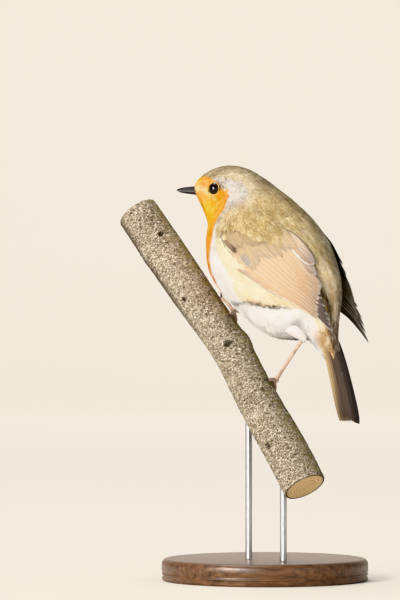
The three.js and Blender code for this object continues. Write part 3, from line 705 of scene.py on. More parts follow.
# ---------------------------------------------------------------- the bill
# Two mandibles of dark horn meet at the gape: a keeled upper one whose ridge curves down at
# the tip, with a nostril slit at each side, and a slimmer lower one.
BILL_ROOT, BILL_TIP, GAPE = 36.6, (49.4, 30.3), 29.3
BILL_HALF_WIDE, NOSTRIL = 2.3, 0.44  # at the root, and as a share of the bill's length


def mandible(rise, tip, side):
    def lay(u, v):
        s = 1 - (1 - v) ** 1.35
        angle = 2 * np.pi * u - np.pi
        slim = np.clip(1 - s, 0, 1) ** 0.42 * 0.98 + 0.02 * (v < 1)
        keel = np.clip(np.cos(angle), 0, 1) ** 0.85
        slit = np.exp(-((s - NOSTRIL) / 0.05) ** 2 - ((np.abs(np.sin(angle)) - 0.72) / 0.14) ** 2)
        slit = slit * (side > 0)
        across = np.sin(angle) * BILL_HALF_WIDE * (1 - 0.92 * s) * (v < 1) * (1 - 0.16 * slit)
        inner = GAPE + (BILL_TIP[1] - 0.5 - GAPE) * s + side * 0.06
        height = rise * slim * keel * (1 - 0.22 * slit)
        x = BILL_ROOT + (tip - BILL_ROOT) * s
        return in_room(head_turned(np.stack([x, across, inner + side * height], 1)))
    return lay


horn, tree, shader = finish("dark horn", Specular_IOR_Level=0.3, Coat_Weight=0.12,
                            Coat_Roughness=0.2)
cloud = cloudy(tree, 800.0, 3.0)
shade = graded(tree, times(tree, cloud, 0.12, lay_of(tree)[1]), (0.2, tint(196, 120, 84)),
               (0.26, tint(46, 36, 44)), (0.45, tint(24, 20, 25)), (0.8, tint(12, 10, 12)))
wire(tree, shader, Base_Color=shade, Roughness=times(tree, cloud, 0.2, 0.34))
relief(tree, shader, cloud, 0.00008)
for name, rise, tip, side in (("upper", 2.75, BILL_TIP[0], 1), ("lower", 1.8, 48.7, -1)):
    fixed("mandible_" + name, wrapped("mandible_" + name, 48, 60, mandible(rise, tip, side)),
          horn, "bill_horn", "bill_" + name)

# ---------------------------------------------------------------- the eyes
# Each eye is a glass-bright ball with a wide black pupil and a thin brown iris under a slight
# cornea, set in the head between lids that are pale outside and dark at their inner edge.
eye_glass, tree, shader = finish("dark eye", Roughness=0.05, Specular_IOR_Level=0.45)
from_front = lay_of(tree)[1]
iris = graded(tree, threads(tree, (60.0, 3.0), 2.0), (0.35, tint(22, 12, 8)),
              (0.65, tint(52, 29, 16)))
seen = mixed(tree, mask(tree, from_front, 0.165, 0.175), tint(5, 4, 5), iris)
seen = mixed(tree, mask(tree, from_front, 0.215, 0.23), seen, tint(12, 9, 9))
wire(tree, shader, Base_Color=seen)

LID_WIDE, LID_TALL, LID_THICK = 2.5, 2.75, 0.2
lid_skin, tree, shader = finish("lid skin", Roughness=0.6)
folds = cloudy(tree, 2600.0)
bare = graded(tree, folds, (0.3, tint(216, 168, 82)), (0.7, tint(246, 212, 136)))
inner = graded(tree, lay_of(tree)[1], (0.2, (0, 0, 0, 1)), (0.3, (1, 1, 1, 1)),
               (0.62, (1, 1, 1, 1)), (0.74, (0, 0, 0, 1)))
wire(tree, shader, Base_Color=mixed(tree, inner, bare, tint(26, 18, 14)))
relief(tree, shader, folds, 0.00015)

for name, side in (("left", 1), ("right", -1)):
    # the eye's middle, and its own axes: out of the head, up, and forward
    middle = in_room(by_eye(side))
    out = unit(in_room(by_eye(side, 20.0, 1.2, 0.6)) - middle)
    up = unit(np.array([0, 0, 1.0]) - out * out[2])
    ahead = np.cross(up, out) * side

    def ball(u, v):
        polar, turn = np.pi * v, 2 * np.pi * u
        bulge = EYE_RADIUS * (0.985 + 0.035 * np.exp(-(polar / 0.5) ** 2))
        flat = bulge * np.sin(polar)
        return (middle + np.outer(flat * np.cos(turn), ahead) + np.outer(flat * np.sin(turn), up)
                + np.outer(bulge * np.cos(polar), out))

    fixed("eyeball_" + name, wrapped("eyeball_" + name, 56, 48, ball), eye_glass, "eye",
          "eye_" + name)

    def lid_ring(u, v):
        """A soft rim round the opening, a little thicker below."""
        turn, round_it = 2 * np.pi * u, 2 * np.pi * v
        tall = LID_TALL + 0.1 * np.sin(turn)
        thick = LID_THICK + 0.05 * np.clip(-np.sin(turn), 0, 1)
        reach = np.hypot(np.cos(turn) * LID_WIDE, np.sin(turn) * tall)
        reach = reach + thick * 0.9 * np.cos(round_it)
        base = np.sqrt(np.clip(EYE_RADIUS**2 - np.minimum(reach, 3.2) ** 2, 0, None))
        height = base - 0.06 + thick * 0.62 * np.sin(round_it)
        return (middle + np.outer(reach * np.cos(turn), ahead) + np.outer(reach * np.sin(turn), up)
                + np.outer(height, out))

    fixed("lids_" + name, wrapped("lids_" + name, 64, 12, lid_ring), lid_skin, "plumage_orange")

# ---------------------------------------------------------------- the legs and feet
# Thin pinkish-brown legs with faint seams between their scutes, four toes with pads, and dark
# curved claws that hold the bark.
GRIP = -2.0  # degrees round the branch, from its right side, at which the feet hold it
BALL_CLEAR, BALL_RADIUS = 2.5, 1.45  # from the bark to the middle of the ball of the foot
TOE_CLEAR, TOE_ARCH = 1.25, 0.35  # from the bark to the middle of a toe, and more at its joints
CLAW_ARCH, CLAW_RADIUS, SHANK_RADIUS = 1.1, 0.64, 0.74
TOES = ("inner", "middle", "outer", "hind")
TOE_THICK = (0.85, 0.95, 0.85, 0.95)
MIDDLE_TOE, OUTER_TOE = (-96, 2.0), (-74, -4.5)  # how far each turns round the branch and climbs it
bends = flowing(PERCH_LINE, np.linspace(0, len(PERCH_LINE) - 1, 400))
BRANCH_LENGTH = float(np.linalg.norm(np.diff(bends, axis=0), axis=1).sum())


def shank(s, angle):
    flare = 0.42 * np.abs(2 * s - 1) ** 6 + 0.12 * np.exp(-((s - 0.93) / 0.05) ** 2)
    return SHANK_RADIUS * (1 + flare) * (1 + 0.06 * np.cos(angle) ** 2)


def claw_girth(s, angle):
    return CLAW_RADIUS * (1 - 0.93 * s**1.3)


def toe_lift(reach):
    return TOE_CLEAR + TOE_ARCH * np.sin(np.pi * 1.5 * reach) ** 2


def claw_lift(reach):
    return TOE_CLEAR + CLAW_ARCH * np.sin(np.pi * np.clip((reach - 0.83) / 0.34, 0, 1))


def toe_line(foot, turn, climb, start, stop, clear):
    """The middle of a toe or claw, laid round the branch from the ball of the foot."""
    reach = np.linspace(start, stop, 7)
    share = foot - climb * reach / BRANCH_LENGTH
    angle = np.radians(GRIP + turn * reach)
    return on_branch(share, angle, bark_girth(share, angle) + clear(reach))


def limb(name, line, radius, around, along):
    """A round limb through points in the room: radius(share, angle), drawn in at its ends."""
    def lay(u, v):
        share = np.clip((v - 0.5 / along) / (1 - 1.0 / along), 0, 1)
        angle = 2 * np.pi * u
        open_here = (v > 1e-6) & (v < 1 - 1e-6)
        return along_limb(line, share, angle, radius(share, angle) * open_here)[0]
    return wrapped(name, around, along, lay)


leg_skin, tree, shader = finish("leg skin", Coat_Weight=0.15, Coat_Roughness=0.35)
scutes = sums(tree, "ABSOLUTE", sums(tree, "SINE", times(tree, lay_of(tree)[1], 34.0)))
cloud = cloudy(tree, 500.0, 3.0)
shade = graded(tree, cloud, (0.3, tint(142, 116, 98)), (0.65, tint(192, 168, 148)))
shade = mixed(tree, mask(tree, scutes, 0.03, 0.12, 0.5, 0.0), shade, tint(128, 98, 82))
wire(tree, shader, Base_Color=shade, Roughness=times(tree, cloud, 0.2, 0.38))
relief(tree, shader, scutes, 0.00007)

claw_horn, tree, shader = finish("claw horn", Coat_Weight=0.3, Coat_Roughness=0.2, Roughness=0.35)
wire(tree, shader, Base_Color=graded(tree, lay_of(tree)[1], (0.0, tint(92, 66, 52)),
                                     (0.35, tint(50, 36, 30)), (0.9, tint(24, 18, 17))))

for name, leg in LEGS.items():
    ankle = in_room(leg["ankle"])
    grip = np.radians([GRIP])
    foot = np.array([leg["foot"]])
    ball_place = on_branch(foot, grip, bark_girth(foot, grip) + BALL_CLEAR)[0]
    feet, claws = bmesh.new(), bmesh.new()

    def pad(u, v):
        polar, turn = np.pi * v, 2 * np.pi * u
        out = np.stack([np.sin(polar) * np.cos(turn), np.sin(polar) * np.sin(turn),
                        np.cos(polar)], 1)
        return ball_place + BALL_RADIUS * out

    parts = [limb("shank", [ankle, (ankle + ball_place) / 2, ball_place], shank, 24, 60),
             wrapped("ball of the foot", 24, 16, pad)]
    lies = leg["inner"], MIDDLE_TOE, OUTER_TOE, leg["hind"]
    for toe, (turn, climb), thick in zip(TOES, lies, TOE_THICK):
        joints = 3 if toe != "hind" else 2

        def toe_girth(s, angle, joints=joints, thick=thick):
            return thick * (1 - 0.25 * s) * (0.93 + 0.11 * np.abs(np.sin(np.pi * joints * s)))

        line = toe_line(leg["foot"], turn, climb, 0.02, 0.82, toe_lift)
        parts.append(limb("toe", line, toe_girth, 18, 40))
        claw_end = 0.84 + 3.6 / (9 if toe == "hind" else 15)
        line = toe_line(leg["foot"], turn, climb, 0.8, claw_end, claw_lift)
        claw = limb("claw", line, claw_girth, 16, 24)
        claws.from_mesh(claw)
        bpy.data.meshes.remove(claw)
    for part in parts:
        feet.from_mesh(part)
        bpy.data.meshes.remove(part)
    fixed("leg_" + name, meshed(feet, "leg_" + name), leg_skin, "leg_skin",
          "shank_" + name, *[toe + "_toe_" + name for toe in TOES])
    fixed("claws_" + name, meshed(claws, "claws_" + name), claw_horn, "claw_horn",
          *[toe + "_toe_claw_" + name for toe in TOES])

# ---------------------------------------------------------------- the tail
# Twelve vanes in a narrow fan, each a little under its inner neighbour: dark grey-brown, with
# the outer ones of the left half buff towards their roots as painted sunlight on that side, the
# right half darker outward as painted shade, and a dark quill down each.


def vane_form(across, along):
    """A flat closed vane: x along it from 0 to 1, y across from -1 to 1, z its own thickness."""
    def lay(u, v):
        side = np.where(u < 0.5, -1 + 4 * u, 3 - 4 * u)
        x = 1 - (1 - v) ** 1.5
        z = np.where(u < 0.5, 1.0, -1.0) * (1 - np.abs(side) ** 2.5)
        return np.stack([x, side, z], 1) / MM
    return wrapped("vane form", across * 2, along, lay)


def stamped(name, form, places, paints, atlas, faces_out=None):
    """Many copies of one small form as a single mesh: a place for every corner of every copy."""
    count, corners = places.shape[:2]
    loops = np.empty(len(form.loops), np.int32)
    form.loops.foreach_get("vertex_index", loops)
    starts = np.empty(len(form.polygons), np.int32)
    form.polygons.foreach_get("loop_start", starts)
    mesh = bpy.data.meshes.new(name)
    mesh.vertices.add(count * corners)
    mesh.vertices.foreach_set("co", (places * MM).astype(np.float32).ravel())
    mesh.loops.add(count * len(loops))
    each = np.arange(count)[:, None]
    mesh.loops.foreach_set("vertex_index", (loops + each * corners).astype(np.int32).ravel())
    mesh.polygons.add(count * len(starts))
    mesh.polygons.foreach_set("loop_start", (starts + each * len(loops)).astype(np.int32).ravel())
    mesh.update(calc_edges=True)
    for label, paint in paints.items():
        coloured(mesh, label, paint.reshape(-1, 3))
    for label, spots in atlas.items():
        mesh.uv_layers.new(name=label).data.foreach_set(
            "uv", spots[:, loops].astype(np.float32).ravel())
    if faces_out is not None:  # the way each corner's surface looks, taken from the body's form
        mesh.shade_smooth()
        mesh.normals_split_custom_set_from_vertices(faces_out.reshape(-1, 3))
    return mesh


def quill_shape(s, blunt=6):
    """Half a vane's width along it: a narrow foot, a parallel middle, a rounded tip."""
    return np.minimum(1, 0.4 + 2.2 * s) * np.sqrt(np.clip(1 - s**blunt, 0, 1))


def barbed_vane():
    """Shared by tail and wings: quill, fine slanting barbs, and a fringe along one edge."""
    group = bpy.data.node_groups.new("barbed vane", "ShaderNodeTree")
    for label in ("Core", "Fringe"):
        group.interface.new_socket(label, in_out="INPUT", socket_type="NodeSocketColor")
    for label in ("Edge", "Lines", "Fade"):
        group.interface.new_socket(label, in_out="INPUT", socket_type="NodeSocketFloat")
    group.interface.new_socket("Color", in_out="OUTPUT", socket_type="NodeSocketColor")
    group.interface.new_socket("Height", in_out="OUTPUT", socket_type="NodeSocketFloat")
    start, end = group.nodes.new("NodeGroupInput"), group.nodes.new("NodeGroupOutput")
    core, fringe, edge, lines, fade = list(start.outputs)[:5]

    def within(value, low, high, top):
        """0 where value is lower than edge - low, top where higher than edge - high."""
        return put(group, "MapRange", {0: value, 1: sums(group, "SUBTRACT", edge, low),
                                       2: sums(group, "SUBTRACT", edge, high),
                                       3: 0.0, 4: top}).outputs[0]

    def deepened(shade, share, colour):
        return mixed(group, share, shade, mixed(group, 1.0, shade, colour, "MULTIPLY"))

    u, v = lay_of(group)
    off = sums(group, "ABSOLUTE", times(group, u, 2.0, -1.0))
    cloud = cloudy(group, 420.0, 3.0)
    slant = times(group, v, 260.0, times(group, off, -60.0))
    barb = sums(group, "SINE", times(group, cloud, 5.0, slant))
    ragged = times(group, cloud, 0.16, sums(group, "SUBTRACT", u, 0.08))
    fringed = sums(group, "MAXIMUM", within(ragged, 0.05, -0.05, 1.0),
                   mask(group, v, 0.95, 0.99, 0.0, 0.6))
    # a vane is darkest close by its fringe, and greyer towards its tip
    shade = deepened(core, within(ragged, 0.4, 0.02, 0.75), tint(222, 202, 178))
    shade = mixed(group, fringed, shade, fringe)
    shade = deepened(shade, times(group, fade, mask(group, v, 0.6, 0.95)), tint(112, 102, 106))
    long_way = sums(group, "SINE", times(group, u, 26.0, times(group, cloud, 9.0)))
    both = times(group, long_way, 0.38, times(group, barb, 0.1, 0.5))
    shade = deepened(shade, times(group, both, lines), tint(152, 134, 114))
    quill = mask(group, off, 0.03, 0.09, 1.0, 0.0)
    shade = mixed(group, times(group, quill, 0.5), shade,
                  mixed(group, 0.5, fringe, tint(60, 46, 36)))
    group.links.new(shade, end.inputs[0])
    group.links.new(times(group, quill, 1.5, barb), end.inputs[1])
    return group


VANE = barbed_vane()


def vane_finish(name, edge, lines, fade):
    made, tree, shader = finish(name, Roughness=0.6, Specular_IOR_Level=0.25, Sheen_Weight=0.12)
    core = put(tree, "Attribute", attribute_name="core").outputs["Color"]
    fringe = put(tree, "Attribute", attribute_name="fringe").outputs["Color"]
    dressed = put(tree, "Group", {0: core, 1: fringe, 2: edge, 3: lines, 4: fade}, node_tree=VANE)
    wire(tree, shader, Base_Color=dressed.outputs[0])
    relief(tree, shader, dressed.outputs[1], 0.0001)
    return made


VANE_FORM = vane_form(10, 30)
VANE_POINTS = points_of(VANE_FORM)
x, y, z = VANE_POINTS.T  # along a vane, across it and through it, for the tail and the wings


def feathered(name, places, cores, fringes, columns, other_hand=False):
    """One mesh of vanes with their colours, their own lay, and a cell each to bake in."""
    count = len(places)
    across = VANE_POINTS[:, 1] * (-1 if other_hand else 1)
    lay = np.stack([0.5 + 0.5 * across, VANE_POINTS[:, 0]], 1)
    cell = np.stack([np.arange(count) % columns, np.arange(count) // columns], 1)
    bake = (cell[:, None, :] + 0.06 + 0.88 * lay) / columns
    paints = {"core": np.array(cores)[:, :, :3], "fringe": np.array(fringes)[:, :, :3]}
    mesh = stamped(name, VANE_FORM, np.array(places), paints,
                   {"lay": np.broadcast_to(lay, (count, *lay.shape)), "OFBake": bake})
    faced_out(mesh, weld=False)
    return mesh


TAIL_ROOT, TAIL_TIP = np.array([-28.6, 0, -27.0]), np.array([-43.3, -1.1, -74.8])
VANE_HALF_WIDE, VANE_STEP = 2.3, 0.3  # and how far each pair of vanes lies under the last
# the left half's vanes from the middle out: colour, fringe, and how far the tip turns to brown;
# the outer ones' buff is painted sunlight
TAIL_LEFT = [
    (tint(98, 80, 68), tint(120, 98, 82), 0), (tint(100, 82, 68), tint(140, 112, 84), 0),
    (tint(94, 74, 60), tint(206, 172, 128), 0), (tint(168, 134, 96), tint(230, 200, 154), 1),
    (tint(206, 172, 126), tint(238, 212, 168), 0.85),
    (tint(228, 198, 152), tint(246, 226, 190), 0.4)]
TIP_BROWN = np.array(tint(100, 82, 68))
down = unit(TAIL_TIP - TAIL_ROOT)
face = unit(np.array([down[2], 0, -down[0]]))
tail_vanes, cores, fringes = [], [], []
for i in range(len(TAIL_LEFT)):
    for side in (-1, 1):
        outward = (i + 0.4) / len(TAIL_LEFT)
        layer = -VANE_STEP * (i + (0.5 if side > 0 else 0))
        root, tip = TAIL_ROOT + face * layer, TAIL_TIP + face * layer
        root = root + [0, side * outward * 5.0, 0]
        tip = tip + down * (0.8 * outward - 1.4 * (outward if side > 0 else -0.2))
        tip = tip + [0, side * outward * (8.2 if side > 0 else 6.6), 0]
        across = unit(np.cross(face, tip - root))
        wave = 0.12 * np.sin(9 * x + i) * np.abs(y) ** 2
        arch = 1.2 * np.sin(np.pi * x) - 1.1 * (1 - x) ** 3 + 0.16 * z + 0.22 * (1 - y * y) + wave
        line = root + np.outer(x, tip - root) + np.outer(arch, face)
        half = VANE_HALF_WIDE * quill_shape(x, 9)
        tail_vanes.append(in_room(line + np.outer(y * side * half, across)))
        if side > 0:
            shade, trim, to_brown = TAIL_LEFT[i]
        else:
            # the right half's vanes, darker outward as painted shade
            shade, trim, to_brown = tint(84 - 7 * i, 70 - 6 * i, 64 - 5 * i), tint(104, 86, 74), 0
        browner = eased(x, 0.35, 0.95)[:, None] * to_brown
        cores.append(np.array(shade) * (1 - browner) + TIP_BROWN * browner)
        fringes.append(np.array(trim) * (1 - 0.6 * browner) + TIP_BROWN * 0.6 * browner)
tail = feathered("tail_vanes", tail_vanes, cores, fringes, 4)
fixed("tail_vanes", tail, vane_finish("tail vane", 0.78, 0.25, 0.2), "flight_feathers", "tail")

# ---------------------------------------------------------------- the wings
# Each folded wing is laid in rows, every feather over the one below it: seven primaries, ten
# secondaries and three tertials, then the greater, median and primary coverts and the alula
# over their roots. The right wing's flight feathers are painted far darker, as painted shade,
# and the wing droops a little.
# what a folded wing lies on: the body's ribs, then five of its own that carry it past the trunk
SLEEVE = np.vstack([RIBS[:13], [
    (-35.8, -11.6, -8.0, -38.0, 19.0, 0), (-41.4, -21.0, -12.0, -39.0, 17.8, 0),
    (-46.4, -31.4, -15.6, -43.6, 16.8, 0), (-50.2, -42.0, -19.0, -50.0, 15.8, 0),
    (-53.4, -53.0, -22.0, -58.0, 15.0, 0)]])
SLEEVE[:, 5] = 0
BODY_RADIUS = 21  # which turns a feather's half width into an angle
# the rows: how many, the root and tip of the lowest and of the uppermost feather as (rib,
# degrees), half width, height over the body, step, and the colours of root, tip and fringe
ROWS = {
    "primary": (7, (10.2, 97), (11.4, 72), (15.15, 51), (13.6, 45), 2.2, 0.4, 0.08,
                tint(222, 196, 166), tint(96, 80, 76), tint(244, 236, 228)),
    "secondary": (10, (9.5, 94), (10.2, 52), (14.35, 63), (13.1, 39), 2.9, 0.5, 0.07,
                  tint(232, 206, 172), tint(206, 180, 152), tint(253, 242, 226)),
    "tertial": (3, (10.0, 54), (9.9, 45), (13.1, 38), (12.0, 31), 3.2, 1.1, 0.16,
                tint(226, 204, 174), tint(184, 165, 152), tint(255, 253, 250)),
    "covert": (17, (8.8, 84), (9.8, 42), (10.7, 87), (11.2, 39), 1.25, 0.5, 0.012,
               tint(220, 195, 152), tint(250, 225, 190), tint(253, 240, 216)),
    "median covert": (15, (7.9, 84), (9.1, 50), (9.7, 86), (10.4, 50), 1.15, 0.6, 0.008,
                      tint(210, 185, 138), tint(232, 206, 164), tint(240, 219, 180)),
    "alula": (2, (8.95, 92), (9.0, 90), (9.75, 88), (9.65, 86), 0.6, 0.8, 0.1,
              tint(176, 146, 112), tint(112, 84, 66), tint(240, 222, 190)),
    "primary covert": (2, (9.5, 85), (9.6, 83), (10.6, 88), (10.5, 85), 1.0, 0.65, 0.04,
                       tint(206, 184, 160), tint(224, 214, 210), tint(240, 232, 226)),
}
DROOPED = (10.4, 97), (11.4, 74), (15.7, 47), (13.5, 48)  # the right wing's primaries
for name, side in (("left", 1), ("right", -1)):
    vanes, cores, fringes = [], [], []
    chance = np.random.default_rng(5)  # no two feathers of a row quite alike
    for row, (count, root_a, root_b, tip_a, tip_b, half, lift, step,
              near, far, fringe) in ROWS.items():
        covers, flies = "covert" in row, row == "primary"
        hangs, shaded = side < 0 and flies, side < 0 and not covers
        if hangs:
            root_a, root_b, tip_a, tip_b = DROOPED
        for k in range(count):
            share = k / max(1, count - 1)
            reach = share**1.5 if flies else share
            root = np.array(root_a) * (1 - share) + np.array(root_b) * share
            tip = np.array(tip_a) * (1 - reach) + np.array(tip_b) * reach
            own = chance.normal(0, 1, 3) * (1.0 if covers else 0.35)
            tip = tip + np.array([0.11, 1.2]) * own[1:]
            blunt = 5 if flies else 2.6 if covers else 7
            wide = half * (1 + 0.1 * own[0]) * quill_shape(x, blunt) / BODY_RADIUS
            rib = root[0] + (tip[0] - root[0]) * x
            sag = 15 * 6.75 * x**2 * (1 - x) * (1 - share) * hangs
            angle = np.radians(root[1] + (tip[1] - root[1]) * x + sag) + y * wide
            ramp = 0.05 + 1.1 * x**2 if row == "tertial" else 0.1 + 1.3 * x**1.4
            most = 0.78 + 0.22 * share if covers else 1.0
            high = (lift + step * k) * (1.5 if side < 0 else 1) * np.minimum(most, ramp)
            high = high + 0.1 * z
            high = high + (0.12 if covers else 0.2) * (1 - y * y)
            high = high + 0.04 * np.sin(11 * x + k) * np.abs(y)
            spot = on_ribs(SLEEVE, rib, angle, high)
            vanes.append(in_room(spot * [1, side, 1]))
            # the right wing's flight feathers are painted almost black, with dimmer fringes, as
            # painted shade
            depth = 0.07 if shaded else 0.93 + 0.1 * (k % 2) if covers else 1.0
            outer = eased(x, 0.35, 0.95)[:, None]
            core = np.array(near) * (1 - outer) + np.array(far) * outer
            cores.append(core * depth)
            fringes.append(np.broadcast_to(np.array(fringe) * (0.8 if shaded else 1.0),
                                           core.shape))
    wing = feathered("wing_vanes_" + name, vanes, cores, fringes, 8, side < 0)
    wing_finish = vane_finish("wing vane " + name, 0.84 + 0.04 * side, 0.4, 0.05)
    fixed("wing_vanes_" + name, wing, wing_finish, "flight_feathers",
          *["wing_" + row + "_" + name for row in ("tertials", "secondaries", "primaries")])

# ---------------------------------------------------------------- the plumage
# Small body feathers as frayed tufts of a few strands each, rooted in the skin and lying back
# over each other from the bill to the tail: tiny on the face, longest on flank and rump.
STRANDS = 6
tuft = bmesh.new()
strand_number = tuft.verts.layers.int.new("strand")
for k in range(STRANDS):
    fan = k / (STRANDS - 1) * 2 - 1
    made = bmesh.ops.create_cone(tuft, cap_ends=False, segments=3, radius1=1, radius2=1, depth=1)
    low = [v for v in made["verts"] if v.co.z < 0]
    high = [v for v in made["verts"] if v.co.z > 0]
    for v in made["verts"]:
        if v in high:
            v.co = (1.0 - 0.22 * abs(fan) + 0.07 * (k % 2), 0.5 * fan, 0)
        else:
            edge = math.atan2(v.co.x, v.co.y)
            v.co = (0.46 + 0.05 * (k % 3), 0.36 * fan + 0.15 * math.sin(edge),
                    0.03 * math.cos(edge) + 0.03 * (k % 2))
    root = tuft.verts.new((0, 0.1 * fan, 0))
    for v in made["verts"] + [root]:
        v[strand_number] = k
    for edge in [e for e in tuft.edges if e.verts[0] in low and e.verts[1] in low]:
        tuft.faces.new((edge.verts[0], edge.verts[1], root))
    bmesh.ops.remove_doubles(tuft, verts=high, dist=1e-5)
bmesh.ops.recalc_face_normals(tuft, faces=tuft.faces)
TUFT_FORM = meshed(tuft, "tuft form")
TUFT = points_of(TUFT_FORM)
TUFT_FACES = len(TUFT_FORM.polygons)
STRAND_OF = np.array([v.value for v in TUFT_FORM.attributes["strand"].data])
PAST_END = TAIL_END + 0.9  # as far as a feather's tip may run past the last rib
luck = np.random.default_rng(11)


def even_scatter(rows, columns, room, count):
    """Evenly spread places over a rib and angle grid, by how many tufts each cell has room for."""
    by_row = np.concatenate([[0], np.cumsum(room.sum(1))])
    by_row /= by_row[-1]
    step = 1.3247179572447460
    k = np.arange(count)
    p, q = (0.5 + k / step) % 1, (0.5 + k / step**2) % 1
    row = np.interp(p, by_row, rows)
    inside = np.clip(np.searchsorted(rows, row) - 1, 0, len(rows) - 2)
    by_column = np.concatenate([np.zeros((len(room), 1)), np.cumsum(room, 1)], 1)
    by_column /= by_column[:, -1:]
    turn = np.array([np.interp(a, by_column[i], columns) for a, i in zip(q, inside)])
    return row, turn


def tuft_length(rib, turn):
    """Millimetres at a rib and a turn in degrees, half as long again on the flank's lower edge."""
    length = np.interp(rib, [0, 1, 2, 3.5, 5, 6.5, 8, 10, 12, 14, 16, 17],
                       [0.8, 1.3, 1.9, 2.5, 3.0, 3.8, 4.8, 5.6, 6.6, 7.2, 6.6, 5.5])
    return length * (1 + 0.5 * np.exp(-((turn - 100) / 18) ** 2 - ((rib - 10.8) / 1.6) ** 2))


def tuft_spacing(rib):
    return np.interp(rib, [0, 1, 3, 5, 7, 9, 12, 17],
                     [0.3, 0.32, 0.38, 0.45, 0.55, 0.67, 0.74, 0.7])


def stride(rib, angle):
    """Millimetres in one rib and in one radian at each place."""
    e = 0.02
    here = on_ribs(RIBS, rib, angle, rib * 0)
    ahead = on_ribs(RIBS, rib + e, angle, rib * 0)
    beside = on_ribs(RIBS, rib, angle + e, rib * 0)
    return (here, np.linalg.norm(ahead - here, axis=1) / e,
            np.maximum(np.linalg.norm(beside - here, axis=1) / e, 1.0))


def facing(rib, angle):
    """The way the body's surface looks at each place, and the way round it, in the room."""
    e = 0.05
    low, high = np.clip(rib - e, 0, PAST_END - 0.1), np.clip(rib + e, 0.1, PAST_END)
    run = on_body(high, angle, rib * 0) - on_body(low, angle, rib * 0)
    over = on_body(rib, angle + e, rib * 0) - on_body(rib, angle - e, rib * 0)
    middle = in_room(np.zeros(3))
    return unit(in_room(np.cross(over, run)) - middle), unit(in_room(over) - middle)


rows, columns = np.linspace(0.8, 16.9, 260), np.linspace(-np.pi, np.pi, 181)
R, A = np.meshgrid(rows, columns, indexing="ij")
spots = on_body(R.ravel(), A.ravel(), -coat_depth(R.ravel())).reshape(*R.shape, 3)
down_row, round_row = np.diff(spots, axis=0)[:, :-1], np.diff(spots, axis=1)[:-1]
area = np.linalg.norm(np.cross(down_row, round_row), axis=2)
room = area / tuft_spacing(R[:-1, :-1]) ** 2
rib, angle = even_scatter(rows, columns, room, int(room.sum()))
turn = np.degrees(np.abs(angle))
here, per_rib, per_turn = stride(rib, angle)

# nothing grows under the folded wings
tip_rib = rib + 0.8 * tuft_length(rib, turn) / per_rib
scapulars = np.interp(turn, [30, 37.5, 51, 66.5, 71, 76, 87, 95],
                      [12.2, 11.4, 10.75, 9.9, 9.3, 9.0, 8.6, 8.5])
wing_foot = np.interp(tip_rib, [8.4, 10.1, 10.85, 11.6, 12.45, 13.6, 14.9],
                      [95, 95, 90, 84, 78, 73, 57])
grows = ~((tip_rib > scapulars) & (turn < wing_foot) & (turn > 34) & (rib < 12.6))
rib, angle, turn, here, per_rib, per_turn = (
    a[grows] for a in (rib, angle, turn, here, per_rib, per_turn))
count = len(rib)
length = tuft_length(rib, turn) * luck.uniform(0.85, 1.2, count)
yaw = luck.normal(0, 0.05, count)
lift = luck.uniform(0.0, 0.35, count)

# round the eyes the feathers are short, and none grows on the lids
grows = np.ones(count, bool)
for side in (1, -1):
    away = here - by_eye(side, 10.6)
    off = np.linalg.norm(away, axis=1)
    ahead = unit(on_ribs(RIBS, rib + 0.05, angle, rib * 0) - here)
    upstream = -(away * ahead).sum(1)  # how far in front of the eye it grows
    beside = np.linalg.norm(away + ahead * upstream[:, None], axis=1)
    toward = (upstream > 0) & (beside < 3.3) & (off < 9)
    length = np.where(toward, np.minimum(length, np.maximum(0.55, off - 3.0)), length)
    length = np.where(off < 5.0, np.minimum(length, 0.9 + 0.5 * (off - 2.6)), length)
    grows &= off > 2.75
rib, angle, turn, here, per_rib, per_turn, length, yaw, lift = (
    a[grows] for a in (rib, angle, turn, here, per_rib, per_turn, length, yaw, lift))
count = len(rib)

# tufts gather in locks, one round each of the first ones, and share its tone and its tilt
first = finder(here[:count // 9])
lock = np.array([first.find(p)[1] for p in here])
gather = 0.4 * ((angle[lock] - angle + np.pi) % (2 * np.pi) - np.pi)
tilt = 0.1 * luck.standard_normal((count, 3))[lock]
# the belly's hem hangs loose, and so do the feathers round the top of each thigh
hem = eased(turn, 118, 150) * eased(rib, 10.8, 12.2) * (1 - eased(rib, 13.6, 14.4))
length = length * (1 + 0.4 * hem)
lift = lift + hem * luck.uniform(0, 1.4, count)
for leg in LEGS.values():
    span = leg["ankle"] - leg["knee"]
    share = np.clip((here - leg["knee"]) @ span / (span @ span), 0, 1)
    apart = np.linalg.norm(here - leg["knee"] - np.outer(share, span), axis=1)
    lift = lift + 1.5 * (1 - eased(apart, leg["thigh"], leg["thigh"] + 3.5)) * (rib > 12)

# where each corner of each tuft goes
width = length * np.interp(rib, [0, 3, 6, 9, 17], [0.46, 0.42, 0.4, 0.36, 0.34])
x, y, z = TUFT.T
fray = 1 + 0.12 * luck.standard_normal((count, STRANDS))[:, STRAND_OF]
along = length[:, None] * x * fray
across = -width[:, None] * y  # the angle runs from the back to the left, so a tuft is turned over
ahead = (along * np.cos(yaw)[:, None] - across * np.sin(yaw)[:, None]) / per_rib[:, None]
beside = (along * np.sin(yaw)[:, None] + across * np.cos(yaw)[:, None]) / per_turn[:, None]
rooted = coat_depth(rib)[:, None]
climb = rooted + 0.15 + lift[:, None] * eased(rib, 1, 5)[:, None]
rise = -rooted - 0.25 + climb * np.clip(x, 0, 1) ** 0.75
rise = rise + width[:, None] * z * 1.2
beside = beside + gather[:, None] * np.clip(x, 0, 1) ** 2
to_rib = np.clip(rib[:, None] + ahead, 0.02, PAST_END)
to_turn = angle[:, None] + beside
places = in_room(on_body(to_rib.ravel(), to_turn.ravel(), rise.ravel()))
places = places.reshape(count, len(TUFT), 3)
root_out, root_over = facing(rib, angle)
tip_out = facing(np.clip(rib + 0.55 * length / per_rib, 0, PAST_END - 0.1), angle)[0]
